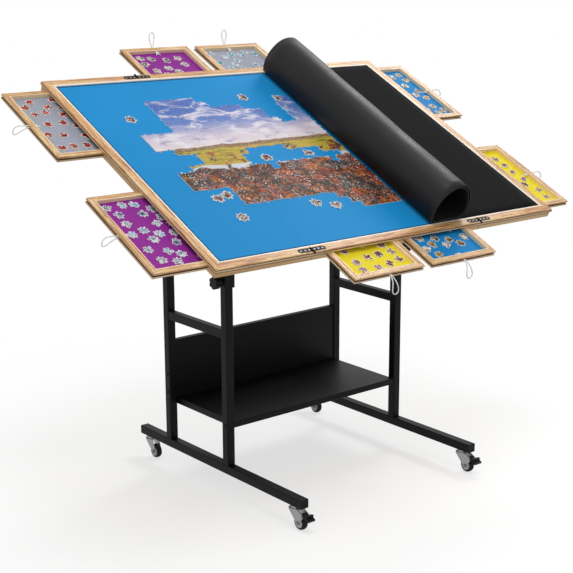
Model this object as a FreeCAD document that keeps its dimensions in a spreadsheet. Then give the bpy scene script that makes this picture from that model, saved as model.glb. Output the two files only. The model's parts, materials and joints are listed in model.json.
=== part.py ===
import FreeCAD, Part
import math
import os
import Sketcher

# A jigsaw puzzle table: a folding three-section board with eight slide-out
# sorting drawers and a roll-up cover mat, carried by a four-post stand that
# rolls on casters, rises on telescoping posts and tilts on side quadrants.
# Millimetres, +Z up, the floor at Z = 0.

Vector = FreeCAD.Vector
doc = FreeCAD.newDocument("PuzzleTable")

# ---------------------------------------------------------------- sizes

SIZES = [
    # playing board
    ("board_length", 1050, "board along X"),
    ("board_width", 765, "board from front edge to back edge"),
    ("rail_width", 26, "border rail"),
    ("rail_height", 8, "border rail"),
    ("rail_chamfer", 1.5, "top edges of the border rail"),
    ("bead_depth", 2, "groove that leaves a bead along the rail edge"),
    ("bead_groove", 2.2, "height of that groove"),
    ("bead_upper", 1.8, "groove below the top face"),
    ("panel_thickness", 5, "playing panel between the rails"),
    ("bay_height", 13, "drawer bay below the rails"),
    ("skin", 2, "underside of the casing"),
    ("casing_inset", 3, "casing face behind the rail edge"),
    ("fold_offset", 262.5, "fold lines from the middle of the board"),
    ("fold_gap", 0.3, "gap between two sections at a fold"),
    # drawers
    ("side_width", 275, "left and right drawers, along Y"),
    ("side_depth", 245, "left and right drawers, along the pull"),
    ("side_margin", 30, "left and right drawers, from the board edge"),
    ("end_width", 208, "front and back drawers, along X"),
    ("end_depth", 340, "front and back drawers, along the pull"),
    ("end_inner", 13, "front and back drawers, from the middle of the board"),
    ("drawer_height", 12.4, "tray height"),
    ("drawer_rim", 15, "tray rim"),
    ("drawer_floor", 3, "tray floor"),
    ("drawer_slack", 0.5, "tray to bay, each side"),
    ("bay_end_gap", 1.5, "closed tray to the end of its bay"),
    ("runner_height", 3.2, "runner on each side of a bay"),
    ("runner_reach", 3.6, "runner from the bay wall"),
    ("groove_slack", 0.35, "runner to tray groove"),
    ("pull_hole", 3.25, "radius of the cord hole in the tray front"),
    ("open_left_front", 134, "how far each tray stands open"),
    ("open_left_back", 118, ""),
    ("open_right_front", 100, ""),
    ("open_right_back", 110, ""),
    ("open_front_left", 102, ""),
    ("open_front_right", 102, ""),
    ("open_back_left", 145, ""),
    ("open_back_right", 143, ""),
    # pull cords
    ("cord_radius", 1.3, "pull cord"),
    ("strand_offset", 1.5, "two strands side by side in the hole"),
    ("knot_radius", 3.9, "knot behind the tray front"),
    ("knot_length", 7, "knot behind the tray front"),
    ("knot_gap", 0.3, "knot to the tray front"),
    # board hinges
    ("leaf_length", 38.5, "hinge leaf from the fold line"),
    ("leaf_width", 14, "hinge leaf"),
    ("leaf_thickness", 2, "hinge leaf, flush with the rail"),
    ("leaf_inset", 11, "middle of a hinge from the board edge"),
    ("leaf_slack", 0.25, "recess around a leaf"),
    ("knuckle_radius", 1.9, "hinge knuckle"),
    ("knuckle_slack", 0.3, "between knuckles and around them"),
    # cover mat
    ("mat_thickness", 2.5, "felt cover mat"),
    ("mat_end_gap", 1, "mat edge to the end rail"),
    ("roll_wall", 5, "rolled part of the mat, two turns thick"),
    ("roll_toe_x", 128.5, "bend of the roll that the flat part runs into"),
    ("roll_toe", 12, "its radius"),
    ("roll_crown_x", 187, "top bend of the roll"),
    ("roll_crown_z", 71, "top bend, above the panel"),
    ("roll_crown", 30.5, "its radius"),
    ("roll_heel_x", 216, "bend of the roll that rests on the panel"),
    ("roll_heel", 15, "its radius"),
    # tilt
    ("tilt_angle", 26, "board in use"),
    ("tilt_down", 26, "from there down to level"),
    ("tilt_up", 14, "from there up to the steepest"),
    ("pivot_drop", 17, "pivot below the casing"),
    ("pivot_setback", 65, "pivot in front of the middle of the board"),
    ("pivot_bolt", 4, "radius of the pivot bolt"),
    ("pivot_head", 7, "radius of its head and nut"),
    ("pivot_hub", 14, "quadrant hub"),
    ("quadrant_plate", 3, "quadrant plate"),
    ("quadrant_gap", 5, "quadrant plate to the top rail"),
    ("quadrant_edge", 14, "plate outside the slot line"),
    ("quadrant_flange", 28, "flange under the casing"),
    ("slot_radius", 120, "clamp slot around the pivot"),
    ("slot_slack", 0.2, "clamp stud to slot"),
    ("tilt_knob_radius", 12.5, "tilt clamp knob"),
    ("tilt_knob_depth", 16, "tilt clamp knob"),
    ("tilt_knob_neck", 7, "knob to the quadrant"),
    # posts and lift
    ("track_offset", 12.5, "posts and feet outside the fold lines"),
    ("post_width", 22, "outer post, square tube"),
    ("post_wall", 1.5, "outer post"),
    ("tube_round", 2.5, "outer corners of the square tubes"),
    ("post_top", 540, "top of the outer posts"),
    ("main_post_y", -21, "front pair of posts"),
    ("rear_post_y", 220, "back pair of posts"),
    ("lift_width", 18, "inner post, square tube"),
    ("lift_wall", 1.5, "inner post"),
    ("lift_round", 2, "outer corners of the inner tubes"),
    ("lift_bottom", 380, "lower end of the inner posts"),
    ("top_rail_width", 20, "top rails and rear tie"),
    ("top_rail_height", 20, "top rails and rear tie"),
    ("top_rail_z", 752, "axis of the top rails and of the pivot"),
    ("top_rail_front", 12, "top rail in front of the main posts"),
    ("top_rail_back", 16, "top rail behind the rear posts"),
    ("collar_width", 29, "clamp collar on the outer post"),
    ("collar_bottom", 517, "clamp collar"),
    ("collar_top", 550, "clamp collar"),
    ("collar_slack", 0.25, "collar bore around the inner post"),
    ("collar_boss", 6, "boss for the clamp screw"),
    ("collar_boss_radius", 9, "boss for the clamp screw"),
    ("height_knob_z", 532, "height clamp knob"),
    ("height_knob_radius", 15, "height clamp knob"),
    ("height_knob_depth", 16, "height clamp knob"),
    ("stud_radius", 3, "clamp screws"),
    ("stud_slack", 0.1, "clamp screws in their holes"),
    # feet and shelf
    ("foot_width", 24, "foot tube"),
    ("foot_height", 22, "foot tube"),
    ("foot_bottom", 54, "underside of the foot tube"),
    ("foot_front", -304, "front end of the foot"),
    ("foot_back", 348, "back end of the foot"),
    ("cap_flange", 2.5, "end cap outside the tube"),
    ("cap_plug", 14, "end cap inside the tube"),
    ("crossbar_width", 20, "side crossbar"),
    ("crossbar_height", 22, "side crossbar"),
    ("crossbar_z", 391, "underside of the side crossbars"),
    ("shelf_thickness", 16, "shelf board"),
    ("shelf_top", 184, "top of the shelf"),
    ("shelf_front", -30, "front edge of the shelf"),
    ("board_round", 2, "rounded edges of the shelf and its back panel"),
    ("back_thickness", 16, "back panel"),
    ("back_top", 335, "top of the back panel"),
    ("back_face", 212, "front face of the back panel"),
    ("screw_radius", 3, "shelf and panel screws"),
    ("screw_head", 5.5, "screw heads"),
    ("screw_head_height", 2.6, "screw heads"),
    ("screw_bite", 26, "screws inside the boards"),
    # casters
    ("caster_front", -272, "front caster stems"),
    ("caster_back", 316, "back caster stems"),
    ("wheel_radius", 18, "caster wheel"),
    ("wheel_width", 14, "caster wheel"),
    ("hub_radius", 12.5, "wheel hub inside the tyre"),
    ("hub_width", 16.6, "wheel hub at the axle"),
    ("axle_radius", 2.5, "wheel axle"),
    ("axle_slack", 0.08, "wheel bore and pedal bore"),
    ("caster_trail", 20, "axle behind the stem"),
    ("fork_plate", 1.6, "caster fork, pressed sheet"),
    ("fork_inside", 17, "between the fork legs"),
    ("fork_top", 49, "top of the fork"),
    ("fork_crown", 3, "crown of the fork"),
    ("fork_crown_radius", 15, "crown of the fork"),
    ("fork_eye", 7, "end of a fork leg around the axle"),
    ("stem_radius", 5, "caster stem"),
    ("stem_race", 12, "race between fork and foot"),
    ("stem_head", 8, "stem head below the crown"),
    ("stem_nut", 8, "nut inside the foot"),
    ("swivel_slack", 0.1, "fork around its stem"),
    ("pedal_pin_y", -33, "brake pedal pin from the stem"),
    ("pedal_pin_z", 37, "brake pedal pin"),
    ("pedal_pin", 1.5, "radius of the pedal pin"),
    ("pedal_boss", 3.2, "pedal around its pin"),
    ("pedal_width", 20, "toe plate of the pedal"),
    ("pedal_neck", 6, "toe plate in front of the pin"),
    ("pedal_reach", 20, "upper toe in front of the pin"),
    ("pedal_rise", 7, "upper toe above the pin"),
    ("pedal_lower_reach", 26, "lower toe in front of the pin"),
    ("pedal_fall", 8.5, "underside of the lower toe below the pin"),
    ("shoe_radius", 1.6, "brake shoe"),
    ("shoe_gap", 0.2, "brake shoe to the tyre"),
]

sheet = doc.addObject("Spreadsheet::Sheet", "Sizes")
for row, (alias, number, note) in enumerate(SIZES, start=1):
    sheet.set("A%d" % row, alias)
    sheet.set("B%d" % row, str(number))
    sheet.set("C%d" % row, note)
    sheet.setAlias("B%d" % row, alias)
doc.recompute()


class Size:
    """A dimension: its number now, and the sheet expression that drives it."""

    def __init__(self, text, value):
        self.text = text
        self.value = float(value)

    def _with(self, other, sign, value):
        return Size("(%s %s %s)" % (self.text, sign, other.text), value)

    def __add__(self, other):
        other = size(other)
        return self._with(other, "+", self.value + other.value)

    def __radd__(self, other):
        return size(other) + self

    def __sub__(self, other):
        other = size(other)
        return self._with(other, "-", self.value - other.value)

    def __rsub__(self, other):
        return size(other) - self

    def __mul__(self, other):
        other = size(other)
        return self._with(other, "*", self.value * other.value)

    def __rmul__(self, other):
        return size(other) * self

    def __truediv__(self, other):
        other = size(other)
        return self._with(other, "/", self.value / other.value)

    def __neg__(self):
        return size(0) - self


def size(item):
    """A Size from a Size, a sheet alias or a plain number."""
    if isinstance(item, Size):
        return item
    if isinstance(item, str):
        return Size("Sizes." + item, float(getattr(sheet, item)))
    return Size("%.6f" % item, item)


def cosine(angle):
    return Size("cos(%s)" % angle.text, math.cos(math.radians(angle.value)))


def sine(angle):
    return Size("sin(%s)" % angle.text, math.sin(math.radians(angle.value)))


def larger(a, b):
    return Size("max(%s; %s)" % (a.text, b.text), max(a.value, b.value))


def span(a, b):
    """Two positions in rising order."""
    a, b = size(a), size(b)
    return (a, b) if a.value <= b.value else (b, a)


def about(middle, width):
    """A span of a width about its middle."""
    middle, width = size(middle), size(width)
    return middle - width / 2, middle + width / 2


# Every sheet value by its own name, for the code below.
board_length, board_width, rail_width = size("board_length"), size("board_width"), size("rail_width")
rail_height, rail_chamfer, bead_depth = size("rail_height"), size("rail_chamfer"), size("bead_depth")
bead_groove, bead_upper = size("bead_groove"), size("bead_upper")
panel_thickness, bay_height, skin = size("panel_thickness"), size("bay_height"), size("skin")
casing_inset, fold_offset, fold_gap = size("casing_inset"), size("fold_offset"), size("fold_gap")
side_width, side_depth, side_margin = size("side_width"), size("side_depth"), size("side_margin")
end_width, end_depth, end_inner = size("end_width"), size("end_depth"), size("end_inner")
drawer_height, drawer_rim, drawer_floor = size("drawer_height"), size("drawer_rim"), size("drawer_floor")
drawer_slack, bay_end_gap = size("drawer_slack"), size("bay_end_gap")
runner_height, runner_reach, groove_slack = size("runner_height"), size("runner_reach"), size("groove_slack")
pull_hole, cord_radius, strand_offset = size("pull_hole"), size("cord_radius"), size("strand_offset")
knot_radius, knot_length, knot_gap = size("knot_radius"), size("knot_length"), size("knot_gap")
leaf_length, leaf_width, leaf_thickness = size("leaf_length"), size("leaf_width"), size("leaf_thickness")
leaf_inset, leaf_slack = size("leaf_inset"), size("leaf_slack")
knuckle_radius, knuckle_slack = size("knuckle_radius"), size("knuckle_slack")
mat_thickness, mat_end_gap = size("mat_thickness"), size("mat_end_gap")
roll_wall = size("roll_wall")
tilt_angle, tilt_down, tilt_up = size("tilt_angle"), size("tilt_down"), size("tilt_up")
pivot_drop, pivot_setback, pivot_bolt = size("pivot_drop"), size("pivot_setback"), size("pivot_bolt")
pivot_head, pivot_hub = size("pivot_head"), size("pivot_hub")
quadrant_plate, quadrant_gap, quadrant_edge = size("quadrant_plate"), size("quadrant_gap"), size("quadrant_edge")
quadrant_flange, slot_radius, slot_slack = size("quadrant_flange"), size("slot_radius"), size("slot_slack")
tilt_knob_radius, tilt_knob_depth, tilt_knob_neck = size("tilt_knob_radius"), size("tilt_knob_depth"), size("tilt_knob_neck")
track_half = size("fold_offset") + size("track_offset")
post_width, post_wall, tube_round = size("post_width"), size("post_wall"), size("tube_round")
post_top, main_post_y, rear_post_y = size("post_top"), size("main_post_y"), size("rear_post_y")
lift_width, lift_wall, lift_round, lift_bottom = size("lift_width"), size("lift_wall"), size("lift_round"), size("lift_bottom")
top_rail_width, top_rail_height, top_rail_z = size("top_rail_width"), size("top_rail_height"), size("top_rail_z")
top_rail_front, top_rail_back = size("top_rail_front"), size("top_rail_back")
collar_width, collar_bottom, collar_top = size("collar_width"), size("collar_bottom"), size("collar_top")
collar_slack, collar_boss, collar_boss_radius = size("collar_slack"), size("collar_boss"), size("collar_boss_radius")
height_knob_z, height_knob_radius, height_knob_depth = size("height_knob_z"), size("height_knob_radius"), size("height_knob_depth")
stud_radius, stud_slack = size("stud_radius"), size("stud_slack")
foot_width, foot_height, foot_bottom = size("foot_width"), size("foot_height"), size("foot_bottom")
foot_front, foot_back, cap_flange, cap_plug = size("foot_front"), size("foot_back"), size("cap_flange"), size("cap_plug")
crossbar_width, crossbar_height, crossbar_z = size("crossbar_width"), size("crossbar_height"), size("crossbar_z")
shelf_thickness, shelf_top, shelf_front = size("shelf_thickness"), size("shelf_top"), size("shelf_front")
board_round, back_thickness, back_top, back_face = size("board_round"), size("back_thickness"), size("back_top"), size("back_face")
screw_radius, screw_head, screw_head_height, screw_bite = size("screw_radius"), size("screw_head"), size("screw_head_height"), size("screw_bite")
caster_front, caster_back = size("caster_front"), size("caster_back")
wheel_radius, wheel_width, hub_radius, hub_width = size("wheel_radius"), size("wheel_width"), size("hub_radius"), size("hub_width")
axle_radius, axle_slack, caster_trail = size("axle_radius"), size("axle_slack"), size("caster_trail")
fork_plate, fork_inside, fork_top, fork_crown = size("fork_plate"), size("fork_inside"), size("fork_top"), size("fork_crown")
fork_crown_radius, fork_eye, swivel_slack = size("fork_crown_radius"), size("fork_eye"), size("swivel_slack")
stem_radius, stem_race, stem_head, stem_nut = size("stem_radius"), size("stem_race"), size("stem_head"), size("stem_nut")
pedal_pin_y, pedal_pin_z, pedal_pin, pedal_boss = size("pedal_pin_y"), size("pedal_pin_z"), size("pedal_pin"), size("pedal_boss")
pedal_width, pedal_neck, pedal_reach = size("pedal_width"), size("pedal_neck"), size("pedal_reach")
pedal_rise, pedal_lower_reach, pedal_fall = size("pedal_rise"), size("pedal_lower_reach"), size("pedal_fall")
shoe_radius, shoe_gap = size("shoe_radius"), size("shoe_gap")

# ------------------------------------------------------- shape helpers

ROLES = {"x": "YZ_Plane", "y": "XZ_Plane", "z": "XY_Plane"}
TURNS = {
    "x": FreeCAD.Rotation(Vector(0, 1, 0), 90),
    "y": FreeCAD.Rotation(Vector(1, 0, 0), -90),
    "z": FreeCAD.Rotation(),
}
carvings = []


def seat(item, x, y, z):
    """Tie the base point of an object to sheet values."""
    for key, place in (("x", x), ("y", y), ("z", z)):
        item.setExpression("Placement.Base." + key, size(place).text)
    return item


def block(name, x, y, z):
    """A box between three spans."""
    item = doc.addObject("Part::Box", name)
    for prop, (low, high) in (("Length", x), ("Width", y), ("Height", z)):
        item.setExpression(prop, (high - low).text)
    return seat(item, x[0], y[0], z[0])


def rod(name, axis, radius, along, p, q):
    """A cylinder along an axis; p and q are its other two coordinates."""
    item = doc.addObject("Part::Cylinder", name)
    item.setExpression("Radius", size(radius).text)
    item.setExpression("Height", (along[1] - along[0]).text)
    item.Placement = FreeCAD.Placement(Vector(), TURNS[axis])
    place = {"x": (along[0], p, q), "y": (p, along[0], q), "z": (p, q, along[0])}[axis]
    return seat(item, *place)


def cone(name, axis, radius_low, radius_high, along, p, q):
    """A truncated cone along an axis."""
    item = doc.addObject("Part::Cone", name)
    item.setExpression("Radius1", size(radius_low).text)
    item.setExpression("Radius2", size(radius_high).text)
    item.setExpression("Height", (along[1] - along[0]).text)
    item.Placement = FreeCAD.Placement(Vector(), TURNS[axis])
    place = {"x": (along[0], p, q), "y": (p, along[0], q), "z": (p, q, along[0])}[axis]
    return seat(item, *place)


def hexagon(name, axis, across, along, p, q):
    """A hexagonal nut or bolt head along an axis."""
    item = doc.addObject("Part::Prism", name)
    item.Polygon = 6
    item.setExpression("Circumradius", size(across).text)
    item.setExpression("Height", (along[1] - along[0]).text)
    item.Placement = FreeCAD.Placement(Vector(), TURNS[axis])
    place = {"x": (along[0], p, q), "y": (p, along[0], q), "z": (p, q, along[0])}[axis]
    return seat(item, *place)


def join(name, *items):
    """One solid from several that touch or overlap."""
    item = doc.addObject("Part::MultiFuse", name)
    item.Shapes = list(items)
    item.Refine = True
    return item


def cut(name, base, *tools):
    """A solid less one or more tools."""
    item = doc.addObject("Part::Cut", name)
    item.Base = base
    item.Tool = tools[0] if len(tools) == 1 else group(name + "_Tools", *tools)
    return item


def common(name, base, tool):
    item = doc.addObject("Part::Common", name)
    item.Base, item.Tool = base, tool
    return item


def group(name, *items):
    item = doc.addObject("Part::Compound", name)
    item.Links = list(items)
    return item


def at(sketch, geometry, point, p, q):
    """Hold a sketch point at sheet-driven coordinates."""
    for kind, place in (("DistanceX", p), ("DistanceY", q)):
        index = sketch.addConstraint(
            Sketcher.Constraint(kind, -1, 1, geometry, point, place.value))
        sketch.setExpression("Constraints[%d]" % index, place.text)


def radius_of(sketch, geometry, radius):
    index = sketch.addConstraint(Sketcher.Constraint("Radius", geometry, radius.value))
    sketch.setExpression("Constraints[%d]" % index, radius.text)


def draw_polygon(sketch, points):
    points = [(size(p), size(q)) for p, q in points]
    count = len(points)
    lines = []
    for i, (p, q) in enumerate(points):
        r, s = points[(i + 1) % count]
        lines.append(sketch.addGeometry(
            Part.LineSegment(Vector(p.value, q.value, 0), Vector(r.value, s.value, 0)), False))
    for i in range(count):
        sketch.addConstraint(Sketcher.Constraint("Coincident", lines[i], 2, lines[(i + 1) % count], 1))
    for line, (p, q) in zip(lines, points):
        at(sketch, line, 1, p, q)


def draw_circle(sketch, p, q, radius):
    p, q, radius = size(p), size(q), size(radius)
    ring = sketch.addGeometry(
        Part.Circle(Vector(p.value, q.value, 0), Vector(0, 0, 1), radius.value), False)
    radius_of(sketch, ring, radius)
    at(sketch, ring, 3, p, q)


def draw_rounded(sketch, across, up, radius):
    """A rectangle between two spans with round corners, lines and arcs tangent."""
    (x0, x1), (y0, y1), radius = across, up, size(radius)
    corners = [(x1 - radius, y0 + radius, -90), (x1 - radius, y1 - radius, 0),
               (x0 + radius, y1 - radius, 90), (x0 + radius, y0 + radius, 180)]
    arcs = []
    for p, q, start in corners:
        circle = Part.Circle(Vector(p.value, q.value, 0), Vector(0, 0, 1), radius.value)
        arcs.append(sketch.addGeometry(
            Part.ArcOfCircle(circle, math.radians(start), math.radians(start + 90)), False))
    lines = []
    for i in range(4):
        ends = []
        for (p, q, start), turn in ((corners[i], 90), (corners[(i + 1) % 4], 0)):
            angle = math.radians(start + turn)
            ends.append(Vector(p.value + radius.value * math.cos(angle),
                               q.value + radius.value * math.sin(angle), 0))
        lines.append(sketch.addGeometry(Part.LineSegment(*ends), False))
    for i in range(4):
        sketch.addConstraint(Sketcher.Constraint("Tangent", arcs[i], 2, lines[i], 1))
        sketch.addConstraint(Sketcher.Constraint("Tangent", lines[i], 2, arcs[(i + 1) % 4], 1))
    for arc, (p, q, _start) in zip(arcs, corners):
        radius_of(sketch, arc, radius)
        at(sketch, arc, 3, p, q)


def sketch_on(body, axis, along, loops):
    """A sketch across an axis, on the plane where a pad or pocket starts."""
    sketch = body.newObject("Sketcher::SketchObject", body.Name + "_Sketch")
    plane = [o for o in body.Origin.OriginFeatures if o.Role == ROLES[axis]][0]
    sketch.AttachmentSupport = (plane, [""])
    sketch.MapMode = "FlatFace"
    start = -along[1] if axis == "y" else along[0]
    sketch.setExpression("AttachmentOffset.Base.z", size(start).text)
    for loop in loops:
        loop[0](sketch, *loop[1:])
    return sketch


def pad(name, axis, along, *loops, body=None):
    """A PartDesign body, or one more pad on it, from a sketch across an axis."""
    body = body or doc.addObject("PartDesign::Body", name)
    feature = body.newObject("PartDesign::Pad", name + "_Pad")
    feature.Profile = sketch_on(body, axis, along, loops)
    feature.setExpression("Length", (along[1] - along[0]).text)
    return body


def pocket(body, axis, along, *loops):
    """Cut a sketch out of a body over a span of an axis."""
    sketch = sketch_on(body, axis, along, loops)
    feature = body.newObject("PartDesign::Pocket", body.Name + "_Pocket")
    feature.Profile = sketch
    feature.Reversed = True
    feature.setExpression("Length", (along[1] - along[0]).text)
    carvings.append(feature)
    return feature


def revolve(name, points, x, y, z):
    """A body turned about an X axis through a point; points are (x, radius)."""
    body = doc.addObject("PartDesign::Body", name)
    sketch = sketch_on(body, "z", (size(0), size(0)), [(draw_polygon, points)])
    feature = body.newObject("PartDesign::Revolution", name + "_Turn")
    feature.Profile = sketch
    feature.ReferenceAxis = (sketch, ["H_Axis"])
    feature.Angle = 360
    return seat(body, x, y, z)


def square_tube(name, axis, along, p, q, wall, radius):
    """A square tube with round corners between two spans."""
    inner = radius - wall
    return pad(name, axis, along, (draw_rounded, p, q, radius),
               (draw_rounded, (p[0] + wall, p[1] - wall), (q[0] + wall, q[1] - wall), inner))


def star_knob(name, radius, depth, neck, stud, side, x, y, z):
    """A six-lobed clamp knob on its screw, turning about X.

    x is the knob's inner face; the neck and the screw point to the middle
    of the table, and side is the side of the table.
    """
    body = pad(name, "x", span(0, side * depth), (draw_circle, 0, 0, radius))
    scallop = pocket(body, "x", span(0, side * depth), (draw_circle, radius * 1.18, 0, radius * 0.36))
    ring = body.newObject("PartDesign::PolarPattern", name + "_Lobes")
    ring.Originals = [scallop]
    ring.Axis = (scallop.Profile[0], ["N_Axis"])
    ring.Angle = 360
    ring.Occurrences = 6
    body.Tip = ring
    seat(body, x, y, z)
    parts = [body]
    if neck:
        parts.append(rod(name + "_Neck", "x", radius * 0.55, neck, y, z))
    parts.append(rod(name + "_Screw", "x", stud_radius, stud, y, z))
    return join(name + "_Whole", *parts)


nodes = []


def node(label, frame, *items, solids=1):
    """One named sub-part, placed by its frame."""
    item = doc.addObject("Part::Compound", "Node_" + label)
    item.Label = label
    item.Links = list(items)
    item.setExpression("Placement", frame.Name + ".Placement")
    nodes.append((item, solids))
    return item


# --------------------------------------------------------------- frames

# The origin is on the floor below the middle of the whole object as it
# stands, drawers out; the stand is symmetric about its own middle plane.
casing_end = board_length / 2 - casing_inset
casing_edge = board_width / 2 - casing_inset
board_thickness = rail_height + bay_height + skin
bay_floor = -(rail_height + bay_height)
drawer_base = bay_floor + (bay_height - drawer_height) / 2
drawer_top = drawer_base + drawer_height
pivot_local_y = -pivot_setback
pivot_local_z = -(board_thickness + pivot_drop)
board_y = main_post_y + pivot_setback * cosine(tilt_angle) + pivot_local_z * sine(tilt_angle)
board_z = top_rail_z + pivot_setback * sine(tilt_angle) - pivot_local_z * cosine(tilt_angle)
reach_left = casing_end + larger(size("open_left_front"), size("open_left_back"))
reach_right = casing_end + larger(size("open_right_front"), size("open_right_back"))
reach_front = (board_y - (casing_edge + larger(size("open_front_left"), size("open_front_right"))) * cosine(tilt_angle)
               - drawer_top * sine(tilt_angle))
reach_back = (board_y + (casing_edge + larger(size("open_back_left"), size("open_back_right"))) * cosine(tilt_angle)
              - drawer_base * sine(tilt_angle))
shift_x = (reach_left - reach_right) / 2
shift_y = -(reach_front + reach_back) / 2

stand_frame = seat(doc.addObject("App::Placement", "StandFrame"), shift_x, shift_y, 0)
board_frame = doc.addObject("App::Placement", "BoardFrame")
board_frame.Placement = FreeCAD.Placement(Vector(), FreeCAD.Rotation(Vector(1, 0, 0), 26))
board_frame.setExpression("Placement.Rotation.Angle", tilt_angle.text)
seat(board_frame, shift_x, shift_y + board_y, board_z)

SIDES = (("left", -1), ("right", 1))

# ---------------------------------------------------------------- stand

foot_top = foot_bottom + foot_height
shelf_low = shelf_top - shelf_thickness
post_inner = track_half - post_width / 2
post_outer = track_half + post_width / 2
screw_places = [(main_post_y, shelf_top - shelf_thickness / 2),
                (rear_post_y, shelf_top + back_thickness),
                (rear_post_y, shelf_top + 4 * back_thickness)]

# Foot tubes, open at both ends for the plastic caps, bored for the stems.
for word, side in SIDES:
    foot = square_tube(word + "_foot_tube", "y", (foot_front + cap_flange, foot_back - cap_flange),
                       about(side * track_half, foot_width), (foot_bottom, foot_top), post_wall, tube_round)
    for stem_y in (caster_front, caster_back):
        pocket(foot, "z", (foot_bottom, foot_bottom + post_wall),
               (draw_circle, side * track_half, stem_y, stem_radius))
    node(word + "_foot", stand_frame, foot)

caps = []
for word, side in SIDES:
    for end, edge, inward in (("front", foot_front, 1), ("back", foot_back, -1)):
        flange = pad("%s_%s_cap" % (word, end), "y", span(edge, edge + inward * cap_flange),
                     (draw_rounded, about(side * track_half, foot_width), (foot_bottom, foot_top), tube_round))
        pad("%s_%s_plug" % (word, end), "y",
            span(edge + inward * cap_flange, edge + inward * (cap_flange + cap_plug)),
            (draw_rounded, about(side * track_half, foot_width - 2 * post_wall),
             (foot_bottom + post_wall, foot_top - post_wall), tube_round - post_wall), body=flange)
        caps.append(flange)
node("foot_end_caps", stand_frame, *caps, solids=4)

# Outer posts: square tubes on the feet, bored for the clamp screws and for
# the screws that carry the shelf and its back panel.
for label, post_y in (("main_posts", main_post_y), ("rear_posts", rear_post_y)):
    posts = []
    for word, side in SIDES:
        post = square_tube("%s_%s" % (word, label), "z", (foot_top, post_top),
                           about(side * track_half, post_width), about(post_y, post_width), post_wall, tube_round)
        for screw_y, screw_z in screw_places:
            if screw_y is post_y:
                pocket(post, "x", span(side * post_inner, side * post_outer),
                       (draw_circle, screw_y, screw_z, screw_radius))
        if post_y is main_post_y:
            pocket(post, "x", span(side * (post_outer - post_wall), side * post_outer),
                   (draw_circle, post_y, height_knob_z, stud_radius + stud_slack))
        posts.append(post)
    node(label, stand_frame, *posts, solids=2)

bars = [square_tube(word + "_crossbar", "y", (main_post_y + post_width / 2, rear_post_y - post_width / 2),
                    about(side * track_half, crossbar_width), (crossbar_z, crossbar_z + crossbar_height),
                    post_wall, tube_round) for word, side in SIDES]
node("crossbars", stand_frame, *bars, solids=2)

# Shelf board between the posts, and the panel that stands behind it.
shelf = pad("shelf_board", "x", (-post_inner, post_inner),
            (draw_rounded, (shelf_front, back_face), (shelf_low, shelf_top), board_round))
panel = pad("back_board", "x", (-post_inner, post_inner),
            (draw_rounded, (back_face, back_face + back_thickness), (shelf_low, back_top), board_round))
for word, side in SIDES:
    for screw_y, screw_z in screw_places:
        pocket(shelf if screw_y is main_post_y else panel, "x",
               span(side * (post_inner - screw_bite), side * post_inner),
               (draw_circle, screw_y, screw_z, screw_radius))
node("shelf", stand_frame, shelf)
node("back_panel", stand_frame, panel)

screws = []
for word, side in SIDES:
    for number, (screw_y, screw_z) in enumerate(screw_places):
        name = "%s_screw_%d" % (word, number)
        low, high = span(side * post_outer, side * (post_outer + screw_head_height))
        head = cone(name + "_head", "x", screw_head if side > 0 else screw_head * 0.6,
                    screw_head * 0.6 if side > 0 else screw_head, (low, high), screw_y, screw_z)
        shank = rod(name + "_shank", "x", screw_radius,
                    span(side * (post_inner - screw_bite), side * post_outer), screw_y, screw_z)
        screws.append(join(name, shank, head))
node("panel_screws", stand_frame, *screws, solids=6)

# Clamp collars: a socket over each outer post, a close bore around the
# inner post above it, and on the main posts a boss for the clamp screw.
collars = []
for word, side in SIDES:
    for post_y in (main_post_y, rear_post_y):
        name = "%s_collar_%s" % (word, "main" if post_y is main_post_y else "rear")
        sleeve = pad(name, "z", (collar_bottom, collar_top),
                     (draw_rounded, about(side * track_half, collar_width), about(post_y, collar_width), tube_round))
        if post_y is main_post_y:
            face = side * (track_half + collar_width / 2)
            pad(name + "_boss", "x", span(face, face + side * collar_boss),
                (draw_circle, post_y, height_knob_z, collar_boss_radius), body=sleeve)
            pocket(sleeve, "x", span(side * post_outer, face + side * collar_boss),
                   (draw_circle, post_y, height_knob_z, stud_radius + stud_slack))
        pocket(sleeve, "z", (collar_bottom, post_top),
               (draw_rounded, about(side * track_half, post_width), about(post_y, post_width), tube_round))
        bore = lift_width + 2 * collar_slack
        pocket(sleeve, "z", (post_top, collar_top),
               (draw_rounded, about(side * track_half, bore), about(post_y, bore), lift_round))
        collars.append(sleeve)
node("post_collars", stand_frame, *collars, solids=4)

# Caster stems: head below the fork crown, race above it, nut in the foot.
stems = []
caster_places = []
for word, side in SIDES:
    for end, stem_y in (("front", caster_front), ("back", caster_back)):
        x = side * track_half
        caster_places.append((word, end, x, stem_y))
        name = "%s_%s_stem" % (end, word)
        stems.append(join(
            name,
            rod(name + "_pin", "z", stem_radius, (fork_top - fork_crown - swivel_slack, foot_top - 2 * post_wall), x, stem_y),
            rod(name + "_head", "z", stem_head, (fork_top - 2 * fork_crown, fork_top - fork_crown - swivel_slack), x, stem_y),
            rod(name + "_race", "z", stem_race, (fork_top + swivel_slack, foot_bottom), x, stem_y),
            hexagon(name + "_nut", "z", stem_nut, (foot_bottom + post_wall, foot_bottom + post_wall + stem_radius), x, stem_y)))
node("caster_stems", stand_frame, *stems, solids=4)

# ----------------------------------------------------------- lift frame

rail_low = top_rail_z - top_rail_height / 2
rail_high = top_rail_z + top_rail_height / 2
inner_posts = [square_tube("%s_lift_post_%s" % (word, tag), "z", (lift_bottom, rail_low),
                           about(side * track_half, lift_width), about(post_y, lift_width), lift_wall, lift_round)
               for word, side in SIDES for tag, post_y in (("main", main_post_y), ("rear", rear_post_y))]
node("lift_posts", stand_frame, *inner_posts, solids=4)

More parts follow.
